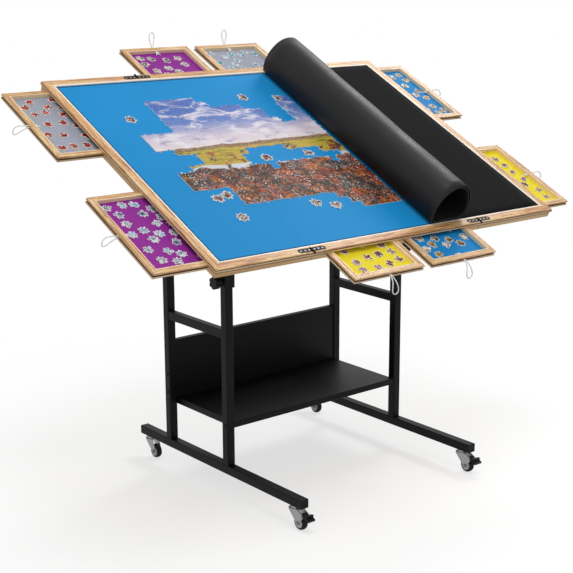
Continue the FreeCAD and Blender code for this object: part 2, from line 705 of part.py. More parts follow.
clamp_y = main_post_y + slot_radius
rails = []
for word, side in SIDES:
    rail = square_tube(word + "_top_rail", "y", (main_post_y - top_rail_front, rear_post_y + top_rail_back),
                       about(side * track_half, top_rail_width), (rail_low, rail_high), post_wall, tube_round)
    pocket(rail, "x", about(side * track_half, top_rail_width), (draw_circle, main_post_y, top_rail_z, pivot_bolt))
    inner = side * (track_half - top_rail_width / 2)
    pocket(rail, "x", span(inner, inner + side * post_wall),
           (draw_circle, clamp_y, top_rail_z, stud_radius + stud_slack))
    rails.append(rail)
node("top_rails", stand_frame, *rails, solids=2)

tie = square_tube("rear_tie_tube", "x", (-(track_half - top_rail_width / 2), track_half - top_rail_width / 2),
                  about(rear_post_y, top_rail_width), (rail_low, rail_high), post_wall, tube_round)
node("rear_tie", stand_frame, tie)

rail_inner = track_half - top_rail_width / 2
rail_outer = track_half + top_rail_width / 2
plate_outer = rail_inner - quadrant_gap
plate_inner = plate_outer - quadrant_plate
bolts = []
for word, side in SIDES:
    name = word + "_pivot_bolt"
    tip = plate_inner - pivot_bolt
    bolts.append(join(
        name,
        rod(name + "_shank", "x", pivot_bolt, span(side * tip, side * rail_outer), main_post_y, top_rail_z),
        hexagon(name + "_head", "x", pivot_head, span(side * rail_outer, side * (rail_outer + pivot_bolt)), main_post_y, top_rail_z),
        hexagon(name + "_nut", "x", pivot_head, span(side * tip, side * (plate_inner - stud_slack)), main_post_y, top_rail_z)))
node("tilt_pivot_bolts", stand_frame, *bolts, solids=2)

# Clamp knobs: height knobs bear on the main lift posts, tilt knobs press
# the quadrants against the top rails.
for word, side in SIDES:
    face = track_half + collar_width / 2 + collar_boss
    knob_x = face + cap_flange
    screw_tip = track_half + lift_width / 2 + stud_slack
    node(word + "_height_knob", stand_frame,
         star_knob(word + "_height", height_knob_radius, height_knob_depth,
                   span(side * (face + stud_slack), side * knob_x), span(side * screw_tip, side * knob_x), side,
                   side * knob_x, main_post_y, height_knob_z))
    inner = plate_inner - tilt_knob_neck
    node(word + "_tilt_knob", stand_frame,
         star_knob(word + "_tilt", tilt_knob_radius, tilt_knob_depth,
                   span(side * inner, side * (plate_inner - stud_slack)),
                   span(side * inner, side * (rail_outer - 2 * post_wall)), -side,
                   side * inner, clamp_y, top_rail_z))

# -------------------------------------------------------------- casters

crown_low = fork_top - fork_crown
for word, end, x, stem_y in caster_places:
    name = "%s_%s" % (end, word)
    braked = end == "front"
    axle_y, axle_z = stem_y - caster_trail, wheel_radius
    pin_y, pin_z = stem_y + pedal_pin_y, pedal_pin_z
    leg_back = stem_y + fork_crown_radius * 0.8
    if braked:
        nose = [(stem_y - caster_trail, fork_top), (pin_y - pedal_boss, pin_z + pedal_boss), (pin_y - pedal_boss, pin_z - pedal_boss)]
    else:
        nose = [(stem_y - caster_trail * 0.9, fork_top), (axle_y - fork_eye, axle_z + fork_eye)]
    profile = nose + [(axle_y - fork_eye, axle_z), (axle_y + fork_eye, axle_z), (leg_back, crown_low - fork_crown), (leg_back, fork_top)]
    metal = [cut(name + "_crown", rod(name + "_crown_disc", "z", fork_crown_radius, (crown_low, fork_top), x, stem_y),
                 rod(name + "_crown_bore", "z", stem_radius + swivel_slack, (crown_low, fork_top), x, stem_y))]
    for hand in (-1, 1):
        leg_span = span(x + hand * fork_inside / 2, x + hand * (fork_inside / 2 + fork_plate))
        metal.append(pad("%s_leg_%s" % (name, "in" if hand < 0 else "out"), "x", leg_span, (draw_polygon, profile)))
        metal.append(rod("%s_eye_%s" % (name, "in" if hand < 0 else "out"), "x", fork_eye, leg_span, axle_y, axle_z))
    across = about(x, fork_inside + 4 * fork_plate)
    metal.append(rod(name + "_axle", "x", axle_radius, across, axle_y, axle_z))
    if braked:
        metal.append(rod(name + "_pedal_pin", "x", pedal_pin, across, pin_y, pin_z))
    node(name + "_caster_fork", stand_frame, join(name + "_fork", *metal))

    half, hub_half, bore = wheel_width / 2, hub_width / 2, axle_radius + axle_slack
    shoulder = wheel_width * 0.16
    tyre = revolve(name + "_tyre", [(-half, hub_radius), (-half, wheel_radius - shoulder),
                                    (-half + shoulder, wheel_radius), (half - shoulder, wheel_radius),
                                    (half, wheel_radius - shoulder), (half, hub_radius)], x, axle_y, axle_z)
    hub = revolve(name + "_hub", [(-hub_half, bore), (-hub_half, bore + axle_radius), (-half + shoulder, hub_radius * 0.55),
                                  (-half + shoulder, hub_radius * 0.85), (-half, hub_radius), (half, hub_radius),
                                  (half - shoulder, hub_radius * 0.85), (half - shoulder, hub_radius * 0.55),
                                  (hub_half, bore + axle_radius), (hub_half, bore)], x, axle_y, axle_z)
    node(name + "_caster_wheel", stand_frame, tyre, hub, solids=2)

    if braked:
        # The shoe is a bar between pin and tyre; lifting the toes swings it away.
        reach_y, reach_z = axle_y - pin_y, axle_z - pin_z
        distance = Size("sqrt(%s)" % (reach_y * reach_y + reach_z * reach_z).text,
                        math.hypot(reach_y.value, reach_z.value))
        throw = distance - (wheel_radius + shoe_gap + shoe_radius)
        shoe_y = pin_y + throw * reach_y / distance
        shoe_z = pin_z + throw * reach_z / distance
        width = about(x, fork_inside - 4 * axle_slack)
        # Outline of the toe plate, forward of the pin and up from it.
        toes = [(pedal_neck, pedal_boss), (pedal_reach * 0.85, pedal_rise), (pedal_reach, pedal_rise * 0.7),
                (pedal_reach * 0.92, pedal_rise * 0.1), (pedal_lower_reach, -(pedal_fall * 0.4)),
                (pedal_lower_reach * 0.93, -(pedal_fall * 0.85)), (pedal_lower_reach * 0.7, -pedal_fall),
                (pedal_neck, -pedal_boss)]
        # Half the width of the arm from the pin to the shoe, along both axes.
        arm_y, arm_z = shoe_radius * reach_z / distance, shoe_radius * reach_y / distance
        pedal = join(
            name + "_pedal_body",
            rod(name + "_pedal_boss", "x", pedal_boss, width, pin_y, pin_z),
            rod(name + "_pedal_shoe", "x", shoe_radius, about(x, wheel_width), shoe_y, shoe_z),
            pad(name + "_pedal_arm", "x", about(x, wheel_width),
                (draw_polygon, [(pin_y - arm_y, pin_z + arm_z), (pin_y + arm_y, pin_z - arm_z),
                                (shoe_y + arm_y, shoe_z - arm_z), (shoe_y - arm_y, shoe_z + arm_z)])),
            block(name + "_pedal_neck", about(x, wheel_width), (pin_y - pedal_neck, pin_y), about(pin_z, 2 * pedal_boss)),
            pad(name + "_pedal_toes", "x", about(x, pedal_width),
                (draw_polygon, [(pin_y - forward, pin_z + up) for forward, up in toes])))
        node(name + "_brake_pedal", stand_frame,
             cut(name + "_pedal", pedal, rod(name + "_pedal_bore", "x", pedal_pin + axle_slack, width, pin_y, pin_z)))

# ---------------------------------------------------------------- board

# Board coordinates: origin at the middle of the top face, X along the
# board, Y from front to back, Z out of the face.
half_length, half_width = board_length / 2, board_width / 2
centre_end = fold_offset - fold_gap / 2
wing_start = fold_offset + fold_gap / 2
recess_z = (-leaf_thickness, size(0))


def rail_profile(outer, inward):
    """Cross-section of a border rail: chamfered top, beaded outer edge."""
    def p(depth):
        return outer + inward * depth
    return [
        (p(size(0)), -rail_height), (p(rail_width), -rail_height), (p(rail_width), -rail_chamfer),
        (p(rail_width - rail_chamfer), size(0)), (p(rail_chamfer), size(0)), (p(size(0)), -rail_chamfer),
        (p(size(0)), -bead_upper), (p(bead_depth), -bead_upper), (p(bead_depth), -(bead_upper + bead_groove)),
        (p(size(0)), -(bead_upper + bead_groove)),
    ]


def hinge_recess(name, fold, outward, hinge_y):
    """The round-ended pocket for one hinge leaf, from the fold line outwards."""
    width = leaf_width + 2 * leaf_slack
    centre = fold + outward * (leaf_length - leaf_width / 2)
    return join(name, block(name + "_run", span(fold, centre), about(hinge_y, width), recess_z),
                rod(name + "_end", "z", width / 2, recess_z, centre, hinge_y))


hinge_rows = (("front", -half_width + leaf_inset), ("back", half_width - leaf_inset))
folds = (("left", -1), ("right", 1))

# Border rails. The middle section has a front and a back rail; each wing
# has three, mitred at the corners.
centre_rails = []
for (row, hinge_y), outer, inward in ((hinge_rows[0], -half_width, 1), (hinge_rows[1], half_width, -1)):
    rail = pad("centre_%s_rail" % row, "x", (-centre_end, centre_end), (draw_polygon, rail_profile(outer, inward)))
    pockets = [hinge_recess("centre_%s_%s_recess" % (row, word), side * fold_offset, -side, hinge_y)
               for word, side in folds]
    centre_rails.append(cut("centre_%s_rail_cut" % row, rail, *pockets))
node("centre_rails", board_frame, *centre_rails, solids=2)

for word, side in folds:
    outer_x = side * half_length
    inner_x = side * (half_length - rail_width)
    frame_parts = []
    for (row, hinge_y), outer, inward in ((hinge_rows[0], -half_width, 1), (hinge_rows[1], half_width, -1)):
        rail = pad("%s_%s_rail" % (word, row), "x", span(side * wing_start, outer_x),
                   (draw_polygon, rail_profile(outer, inward)))
        pocket(rail, "z", (-rail_height, size(0)),
               (draw_polygon, [(outer_x, outer), (outer_x, outer + inward * rail_width),
                               (inner_x, outer + inward * rail_width)]))
        frame_parts.append(cut("%s_%s_rail_cut" % (word, row), rail,
                               hinge_recess("%s_%s_recess" % (word, row), side * fold_offset, side, hinge_y)))
    end_rail = pad(word + "_end_rail", "y", (-half_width, half_width), (draw_polygon, rail_profile(outer_x, -side)))
    for outer, inward in ((-half_width, 1), (half_width, -1)):
        pocket(end_rail, "z", (-rail_height, size(0)),
               (draw_polygon, [(outer_x, outer), (inner_x, outer), (inner_x, outer + inward * rail_width)]))
    node(word + "_wing_rails", board_frame, *frame_parts, end_rail, solids=3)

# Playing panels, flush with the bottom of the rails and sunk below their top.
panel_z = (-rail_height, -rail_height + panel_thickness)
panel_y = (-(half_width - rail_width), half_width - rail_width)
node("centre_panel", board_frame, block("centre_sheet", (-centre_end, centre_end), panel_y, panel_z))
for word, side in folds:
    node(word + "_wing_panel", board_frame,
         block(word + "_sheet", span(side * wing_start, side * (half_length - rail_width)), panel_y, panel_z))

# Casings below the panels, hollowed into drawer bays with a runner on each
# side of every bay.
runner_low = drawer_base + (drawer_height - runner_height) / 2
runner_high = runner_low + runner_height


def bay_section(low, high):
    """Cross-section of a bay: a slot with a runner standing in from each wall."""
    top = -rail_height
    return [(low, bay_floor), (high, bay_floor), (high, runner_low), (high - runner_reach, runner_low),
            (high - runner_reach, runner_high), (high, runner_high), (high, top), (low, top), (low, runner_high),
            (low + runner_reach, runner_high), (low + runner_reach, runner_low), (low, runner_low)]


casing_z = (-board_thickness, -rail_height)
casing_y = (-casing_edge, casing_edge)
side_rows = (("front", -half_width + side_margin, -half_width + side_margin + side_width),
             ("back", half_width - side_margin - side_width, half_width - side_margin))
end_columns = (("left", -(end_inner + end_width), -end_inner), ("right", end_inner, end_inner + end_width))

centre_casing = pad("centre_case", "z", casing_z,
                    (draw_polygon, [(-centre_end, -casing_edge), (centre_end, -casing_edge),
                                    (centre_end, casing_edge), (-centre_end, casing_edge)]))
for row, toward in (("front", -1), ("back", 1)):
    for column, low, high in end_columns:
        pocket(centre_casing, "y", span(toward * casing_edge, toward * (casing_edge - end_depth - bay_end_gap)),
               (draw_polygon, bay_section(low - drawer_slack, high + drawer_slack)))
node("centre_casing", board_frame, centre_casing)

for word, side in folds:
    ends = span(side * wing_start, side * casing_end)
    casing = pad(word + "_case", "z", casing_z,
                 (draw_polygon, [(ends[0], -casing_edge), (ends[1], -casing_edge),
                                 (ends[1], casing_edge), (ends[0], casing_edge)]))
    for row, low, high in side_rows:
        pocket(casing, "x", span(side * casing_end, side * (casing_end - side_depth - bay_end_gap)),
               (draw_polygon, bay_section(low - drawer_slack, high + drawer_slack)))
    node(word + "_wing_casing", board_frame, casing)

# Flush hinges: round-ended leaves let into the rails, with the knuckles on
# the fold line at the level of the top face. The middle section's leaf has
# the two outer knuckles, the wing's leaf the one between them.
leaf_z = (-leaf_thickness, size(0))


def hinge_leaf(name, fold, outward, hinge_y, middle):
    centre = fold + outward * (leaf_length - leaf_width / 2)
    leaf = [block(name + "_run", span(fold, centre), about(hinge_y, leaf_width), leaf_z),
            rod(name + "_end", "z", leaf_width / 2, leaf_z, centre, hinge_y)]
    third = leaf_width / 6
    own = [about(hinge_y, 2 * third - knuckle_slack)] if middle else [
        (hinge_y - leaf_width / 2, hinge_y - third), (hinge_y + third, hinge_y + leaf_width / 2)]
    others = [(hinge_y - leaf_width / 2, hinge_y - third + knuckle_slack / 2),
              (hinge_y + third - knuckle_slack / 2, hinge_y + leaf_width / 2)] if middle else [
        about(hinge_y, 2 * third)]
    plate = cut(name + "_plate", join(name + "_blank", *leaf),
                *[rod("%s_clear_%d" % (name, i), "y", knuckle_radius + knuckle_slack, along, fold, 0)
                  for i, along in enumerate(others)])
    return join(name, plate, *[rod("%s_knuckle_%d" % (name, i), "y", knuckle_radius, along, fold, 0)
                               for i, along in enumerate(own)])


centre_leaves = [hinge_leaf("centre_%s_%s_leaf" % (row, word), side * fold_offset, -side, hinge_y, False)
                 for row, hinge_y in hinge_rows for word, side in folds]
node("centre_hinge_leaves", board_frame, *centre_leaves, solids=4)
for word, side in folds:
    node(word + "_wing_hinge_leaves", board_frame,
         *[hinge_leaf("%s_%s_leaf" % (word, row), side * fold_offset, side, hinge_y, True)
           for row, hinge_y in hinge_rows], solids=2)

# Tilt quadrants: a plate beside each top rail with a hub on the pivot bolt,
# an arc slot for the clamp screw and a flange screwed under the casing.
slot_top, slot_low = tilt_down - tilt_angle + 1, -(tilt_angle + tilt_up + 1)
rim = slot_radius + quadrant_edge
quadrants = []


def from_pivot(radius, angle):
    return (pivot_local_y + radius * cosine(angle), pivot_local_z + radius * sine(angle))


for word, side in SIDES:
    name = word + "_quadrant"
    plate_x = span(side * plate_inner, side * plate_outer)
    top = pivot_local_z + pivot_drop
    sweep = slot_low - 5
    outline = [(pivot_local_y - pivot_hub, top), (pivot_local_y + rim, top), (pivot_local_y + rim, pivot_local_z + rim * sine(sweep)),
               from_pivot(rim, sweep), (pivot_local_y - pivot_hub * 0.7, pivot_local_z - pivot_hub * 0.7)]
    sector = common(name + "_sector", pad(name + "_outline", "x", plate_x, (draw_polygon, outline)),
                    rod(name + "_rim", "x", rim, plate_x, pivot_local_y, pivot_local_z))
    wedge = pad(name + "_wedge", "x", plate_x,
                (draw_polygon, [(pivot_local_y, pivot_local_z), from_pivot(rim * 1.4, slot_low), from_pivot(rim * 1.4, slot_top)]))
    slot_half = stud_radius + slot_slack
    ring = cut(name + "_ring", rod(name + "_ring_out", "x", slot_radius + slot_half, plate_x, pivot_local_y, pivot_local_z),
               rod(name + "_ring_in", "x", slot_radius - slot_half, plate_x, pivot_local_y, pivot_local_z))
    slot = join(name + "_slot", common(name + "_arc", ring, wedge),
                rod(name + "_slot_top", "x", slot_half, plate_x, *from_pivot(slot_radius, slot_top)),
                rod(name + "_slot_low", "x", slot_half, plate_x, *from_pivot(slot_radius, slot_low)))
    hub_x = span(side * plate_inner, side * (rail_inner - stud_slack))
    flange = block(name + "_flange", span(side * (plate_outer - quadrant_flange), side * plate_outer),
                   (pivot_local_y - pivot_hub, pivot_local_y + rim * 0.99),
                   (top - quadrant_plate, top))
    whole = join(name + "_blank", sector, flange, rod(name + "_hub", "x", pivot_hub, hub_x, pivot_local_y, pivot_local_z))
    quadrants.append(cut(name, whole, slot, rod(name + "_bore", "x", pivot_bolt + stud_slack, hub_x, pivot_local_y, pivot_local_z)))
node("tilt_quadrants", board_frame, *quadrants, solids=2)

# Cover mat: rolled up on the middle section, the rest flat on the right wing.
mat_z = (panel_z[1], panel_z[1] + mat_thickness)
# Bends of the slumped roll: place along X, above the panel, and radius.
roll_bends = ((size("roll_toe_x"), size("roll_toe"), size("roll_toe")),
              (size("roll_crown_x"), size("roll_crown_z"), size("roll_crown")),
              (size("roll_heel_x"), size("roll_heel"), size("roll_heel")))


def slumped(name, inset):
    """The roll's outline drawn in by an inset: rods in its bends and the flats between them."""
    bends = [(x.value, (panel_z[1] + z).value, (radius - inset).value) for x, z, radius in roll_bends]
    corners, rods = [], []
    for index, (x, z, radius) in enumerate(bends):
        next_x, next_z, next_radius = bends[(index + 1) % len(bends)]
        distance = math.hypot(next_x - x, next_z - z)
        # The flat leans over by the difference of the two radii.
        angle = math.atan2(next_z - z, next_x - x) + math.pi / 2 + math.asin((next_radius - radius) / distance)
        for centre_x, centre_z, reach in ((x, z, radius), (next_x, next_z, next_radius)):
            corners.append((centre_x + reach * math.cos(angle), centre_z + reach * math.sin(angle)))
        rods.append(rod("%s_bend_%d" % (name, index), "y", size(radius), panel_y, size(x), size(z)))
    return join(name, pad(name + "_flats", "y", panel_y, (draw_polygon, corners)), *rods)


roll_tube = cut("mat_roll_tube", slumped("mat_roll_outside", size(0)), slumped("mat_roll_inside", roll_wall))
node("cover_mat_roll", board_frame,
     join("mat_roll", roll_tube, block("mat_lead", (roll_bends[0][0], centre_end), panel_y, mat_z)))
node("cover_mat_flat", board_frame,
     block("mat_sheet", (wing_start + fold_gap, half_length - rail_width - mat_end_gap), panel_y, mat_z))

# -------------------------------------------------------------- drawers

cavity_base = drawer_base + drawer_floor
hole_z = (cavity_base + drawer_top) / 2
groove_depth = runner_reach - drawer_slack + groove_slack


def tray_section(low, high):
    """Cross-section of a tray, grooved along both sides for the runners."""
    g0, g1 = runner_low - groove_slack, runner_high + groove_slack
    return [(low, drawer_base), (high, drawer_base), (high, g0), (high - groove_depth, g0),
            (high - groove_depth, g1), (high, g1), (high, drawer_top), (low, drawer_top), (low, g1),
            (low + groove_depth, g1), (low + groove_depth, g0), (low, g0)]


# (name, pull axis, direction, span across the pull, opening)
DRAWERS = []
for row, low, high in side_rows:
    for word, side in folds:
        DRAWERS.append(("%s_%s" % (word, row), "x", side, (low, high), size("open_%s_%s" % (word, row)), side_depth, casing_end))
for row, toward in (("front", -1), ("back", 1)):
    for column, low, high in end_columns:
        DRAWERS.append(("%s_%s" % (row, column), "y", toward, (low, high), size("open_%s_%s" % (row, column)), end_depth, casing_edge))

for name, axis, direction, across, opening, depth, face in DRAWERS:
    front = direction * (face + opening)
    back = direction * (face + opening - depth)
    tray = pad(name + "_tray", axis, span(back, front), (draw_polygon, tray_section(*across)))
    inside_pull = span(back + direction * drawer_rim, front - direction * drawer_rim)
    inside_across = (across[0] + drawer_rim, across[1] - drawer_rim)
    rectangle = (inside_pull, inside_across) if axis == "x" else (inside_across, inside_pull)
    (x0, x1), (y0, y1) = rectangle
    pocket(tray, "z", (cavity_base, drawer_top), (draw_rounded, (x0, x1), (y0, y1), drawer_rim / 5))
    # The groove of the sides runs on across the front and the back.
    for end, inward in ((front, -direction), (back, direction)):
        band = span(end, end + inward * groove_depth)
        corners = [(band[0], across[0]), (band[1], across[0]), (band[1], across[1]), (band[0], across[1])]
        pocket(tray, "z", (runner_low - groove_slack, runner_high + groove_slack),
               (draw_polygon, corners if axis == "x" else [(q, p) for p, q in corners]))
    middle = (across[0] + across[1]) / 2
    pocket(tray, axis, span(front - direction * drawer_rim, front), (draw_circle, middle, hole_z, pull_hole))
    node(name + "_drawer", board_frame, tray)

# ---------------------------------------------------------- pull cords

# Loop of each cord, as points (out of the tray front, down, half width).
# Side loops stand out of their holes and droop, with one strand above the
# other; the front ones hang and the back ones stand up. The points stay as
# chosen; only the strands' spacing, the tray rim and the knot follow the
# sizes.
LOOPS = {
    "side": [(2.0, 0.2, None), (16.5, 1.7, 5.0), (26.0, 4.2, 7.8), (35.0, 7.8, 8.0), (40.0, 10.0, 3.9)],
    "front": [(2.5, 0.3, None), (14.5, 6.5, 4.4), (18.8, 17.5, 8.2), (18.6, 28.0, 9.2), (18.2, 34.0, 3.9)],
    "back": [(2.0, 0.0, None), (6.5, -4.5, 2.4), (7.6, -17.0, 6.2), (7.8, -28.5, 8.8), (7.4, -39.5, 3.9)],
}


def rounded_path(points, cut_share=0.45):
    """Straight runs joined by tangent arcs as large as the runs allow."""
    edges, radii = [], []
    start = points[0]
    for before, corner, after in zip(points, points[1:], points[2:]):
        into, out = before - corner, after - corner
        trim = cut_share * min(into.Length, out.Length)
        turn = math.pi - into.getAngle(out)
        radii.append(trim / math.tan(turn / 2))
        p0 = corner + Vector(into).normalize() * trim
        p1 = corner + Vector(out).normalize() * trim
        inward = (Vector(into).normalize() + Vector(out).normalize()).normalize()
        centre = corner + inward * (radii[-1] / math.cos(turn / 2))
        middle = centre - inward * radii[-1]
        edges.append(Part.LineSegment(start, p0).toShape())
        edges.append(Part.Arc(p0, middle, p1).toShape())
        start = p1
    edges.append(Part.LineSegment(start, points[-1]).toShape())
    return Part.Wire(edges), radii


down = Vector(0, -math.sin(math.radians(tilt_angle.value)), -math.cos(math.radians(tilt_angle.value)))
for name, axis, direction, across, opening, depth, face in DRAWERS:
    style = LOOPS["side" if axis == "x" else name.split("_")[0]]
    pull = Vector(direction, 0, 0) if axis == "x" else Vector(0, direction, 0)
    lateral = down if axis == "x" else pull.cross(down).normalize()
    middle = (across[0] + across[1]).value / 2
    out = (face + opening).value * direction
    mouth = Vector(out, middle, hole_z.value) if axis == "x" else Vector(middle, out, hole_z.value)
    knot_face = -(drawer_rim.value + knot_gap.value)
    half_loop = [(knot_face, 0.0, strand_offset.value)] + [
        (out, drop, strand_offset.value if wide is None else wide) for out, drop, wide in style]
    points = [mouth + pull * out + down * drop + lateral * wide for out, drop, wide in half_loop]
    points += [mouth + pull * out + down * drop - lateral * wide for out, drop, wide in reversed(half_loop)]
    wire, radii = rounded_path(points)
    print("cord", name, "length %.1f" % wire.Length, "radii", ["%.1f" % r for r in radii])
    disc = Part.Wire(Part.Circle(points[0], pull, cord_radius.value).toShape())
    strand = wire.makePipeShell([disc], True, True)
    expected = math.pi * cord_radius.value ** 2 * wire.Length
    if abs(strand.Volume - expected) > 0.02 * expected:
        raise RuntimeError("cord %s has the wrong volume" % name)
    knot = Part.makeCylinder(knot_radius.value, knot_length.value, mouth + pull * knot_face, pull * -1)
    loop = doc.addObject("Part::Feature", name + "_pull_shape")
    loop.Shape = Part.makeCompound([strand, knot])
    node(name + "_pull", board_frame, loop, solids=2)

# --------------------------------------------------------------- output

doc.recompute()
for item in doc.Objects:
    if "Invalid" in item.State or "Error" in item.State:
        raise RuntimeError("%s failed: %s" % (item.Label, item.State))
for feature in carvings:
    base = feature.BaseFeature.Shape.Volume
    if base - feature.Shape.Volume < 0.5:
        raise RuntimeError("%s cuts nothing" % feature.Label)
for item, solids in nodes:
    if item.Shape.isNull() or not item.Shape.isValid():
        raise RuntimeError("%s has no valid shape" % item.Label)
    if len(item.Shape.Solids) != solids:
        raise RuntimeError("%s has %d solids, not %d" % (item.Label, len(item.Shape.Solids), solids))

os.makedirs("parts", exist_ok=True)
box = FreeCAD.BoundBox()
for item, solids in nodes:
    item.Shape.exportStep("parts/%s.step" % item.Label)
    if not item.Label.endswith("_pull"):
        box.add(item.Shape.BoundBox)
print("%d nodes" % len(nodes))
print("box", [round(v, 2) for v in (box.XMin, box.YMin, box.ZMin, box.XMax, box.YMax, box.ZMax)])
print("shift %.3f %.3f board %.3f %.3f" % (shift_x.value, shift_y.value, board_y.value, board_z.value))
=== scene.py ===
"""Looks of a folding jigsaw board with eight sorting trays on a wheeled stand.

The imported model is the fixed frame: it is loaded first, its nodes get their
finishes, and the puzzle, linings, cover mat, pull cords, hinge screws and caster
wheels are built over it. Sizes are in millimetres, in the board's own
coordinates (origin in the middle of its top face, X along the board, Y from
front to back, Z out of the face) or in the stand's; finished pieces are in
metres in the row frame.
"""

from __future__ import annotations

import json
import logging
import math
import random
from dataclasses import dataclass, field
from enum import Enum
from typing import Iterable, Optional, Sequence, Union

import bmesh
import bpy
from mathutils import Matrix, Vector, noise

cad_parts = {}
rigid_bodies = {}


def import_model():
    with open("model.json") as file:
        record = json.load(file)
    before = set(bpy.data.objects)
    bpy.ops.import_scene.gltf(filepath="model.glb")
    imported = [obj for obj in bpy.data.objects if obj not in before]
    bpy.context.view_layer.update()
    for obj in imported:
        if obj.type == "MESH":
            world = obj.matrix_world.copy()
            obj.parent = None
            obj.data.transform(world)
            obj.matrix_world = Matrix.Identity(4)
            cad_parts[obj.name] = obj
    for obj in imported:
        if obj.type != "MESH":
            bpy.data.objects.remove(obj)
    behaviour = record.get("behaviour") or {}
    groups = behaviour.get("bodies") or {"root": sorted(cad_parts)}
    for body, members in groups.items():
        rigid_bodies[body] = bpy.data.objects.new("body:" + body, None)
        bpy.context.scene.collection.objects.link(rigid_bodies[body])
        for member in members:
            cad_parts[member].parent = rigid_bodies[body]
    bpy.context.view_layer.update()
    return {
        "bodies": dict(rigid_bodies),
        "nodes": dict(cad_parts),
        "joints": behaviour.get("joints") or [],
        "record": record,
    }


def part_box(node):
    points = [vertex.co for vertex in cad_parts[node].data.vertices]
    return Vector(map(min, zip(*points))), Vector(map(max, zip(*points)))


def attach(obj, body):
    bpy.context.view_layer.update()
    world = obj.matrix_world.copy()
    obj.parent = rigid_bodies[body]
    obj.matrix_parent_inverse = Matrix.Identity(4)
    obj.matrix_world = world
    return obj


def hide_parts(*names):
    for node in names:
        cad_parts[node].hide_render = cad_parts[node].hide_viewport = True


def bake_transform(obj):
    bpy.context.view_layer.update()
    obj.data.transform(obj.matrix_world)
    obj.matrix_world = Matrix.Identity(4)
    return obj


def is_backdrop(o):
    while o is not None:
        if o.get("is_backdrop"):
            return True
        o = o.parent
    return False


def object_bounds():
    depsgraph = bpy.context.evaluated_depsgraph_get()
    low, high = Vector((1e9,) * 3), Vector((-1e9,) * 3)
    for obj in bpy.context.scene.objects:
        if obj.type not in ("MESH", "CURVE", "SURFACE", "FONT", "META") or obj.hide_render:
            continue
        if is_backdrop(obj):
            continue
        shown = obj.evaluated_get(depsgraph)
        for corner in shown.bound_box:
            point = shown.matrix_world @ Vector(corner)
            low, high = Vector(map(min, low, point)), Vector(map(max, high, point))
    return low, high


MM = 0.001
Colour = tuple[float, float, float, float]
Spot = tuple[float, float]
Triple = tuple[float, float, float]
Work = bmesh.types.BMesh
Material = bpy.types.Material
Thing = bpy.types.Object
Value = Union[float, Sequence[float], "Signal"]
log = logging.getLogger("jigsaw_board")


def linear(channel: int) -> float:
    """An 8-bit display channel in linear light."""
    share = channel / 255
    return share / 12.92 if share <= 0.04045 else ((share + 0.055) / 1.055) ** 2.4


def tint(red: int, green: int, blue: int) -> Colour:
    """The linear colour of an 8-bit display colour."""
    return linear(red), linear(green), linear(blue), 1.0


def dimmed(colour: Colour, share: float) -> Colour:
    """A colour at a share of its strength."""
    return (*(channel * share for channel in colour[:3]), 1.0)


@dataclass
class BoardFrame:
    """Where the tilted board lies in the row frame.

    Attributes:
        origin: middle of the board's top face, metres.
        tilt: turn about X, radians.
        fold: fold lines from the middle, millimetres.
        half_length, half_width: half sizes of the board, millimetres.
    """

    origin: Vector
    tilt: float
    fold: float = 262.5
    half_length: float = 525.0
    half_width: float = 382.5

    @classmethod
    def from_joints(cls, joints: Iterable[dict]) -> BoardFrame:
        """Reads the place and tilt of the board from the left fold's hinge.

        Args:
            joints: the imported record's joints.

        Returns:
            The board's frame.
        """
        hinge = next(j for j in joints if j["name"] == "left_wing_fold")
        _, along, up = hinge["axis"]
        return cls(Vector(hinge["pos_m"]) + Vector((cls.fold * MM, 0, 0)), math.atan2(up, along))

    @property
    def place(self) -> Matrix:
        """Takes board millimetres to row metres."""
        return Matrix.Translation(self.origin) @ Matrix.Rotation(self.tilt, 4, "X") @ Matrix.Scale(MM, 4)

    def at(self, x: float, y: float, z: float) -> Vector:
        """A board point, in row metres."""
        return self.place @ Vector((x, y, z))


# --------------------------------------------------------------- materials


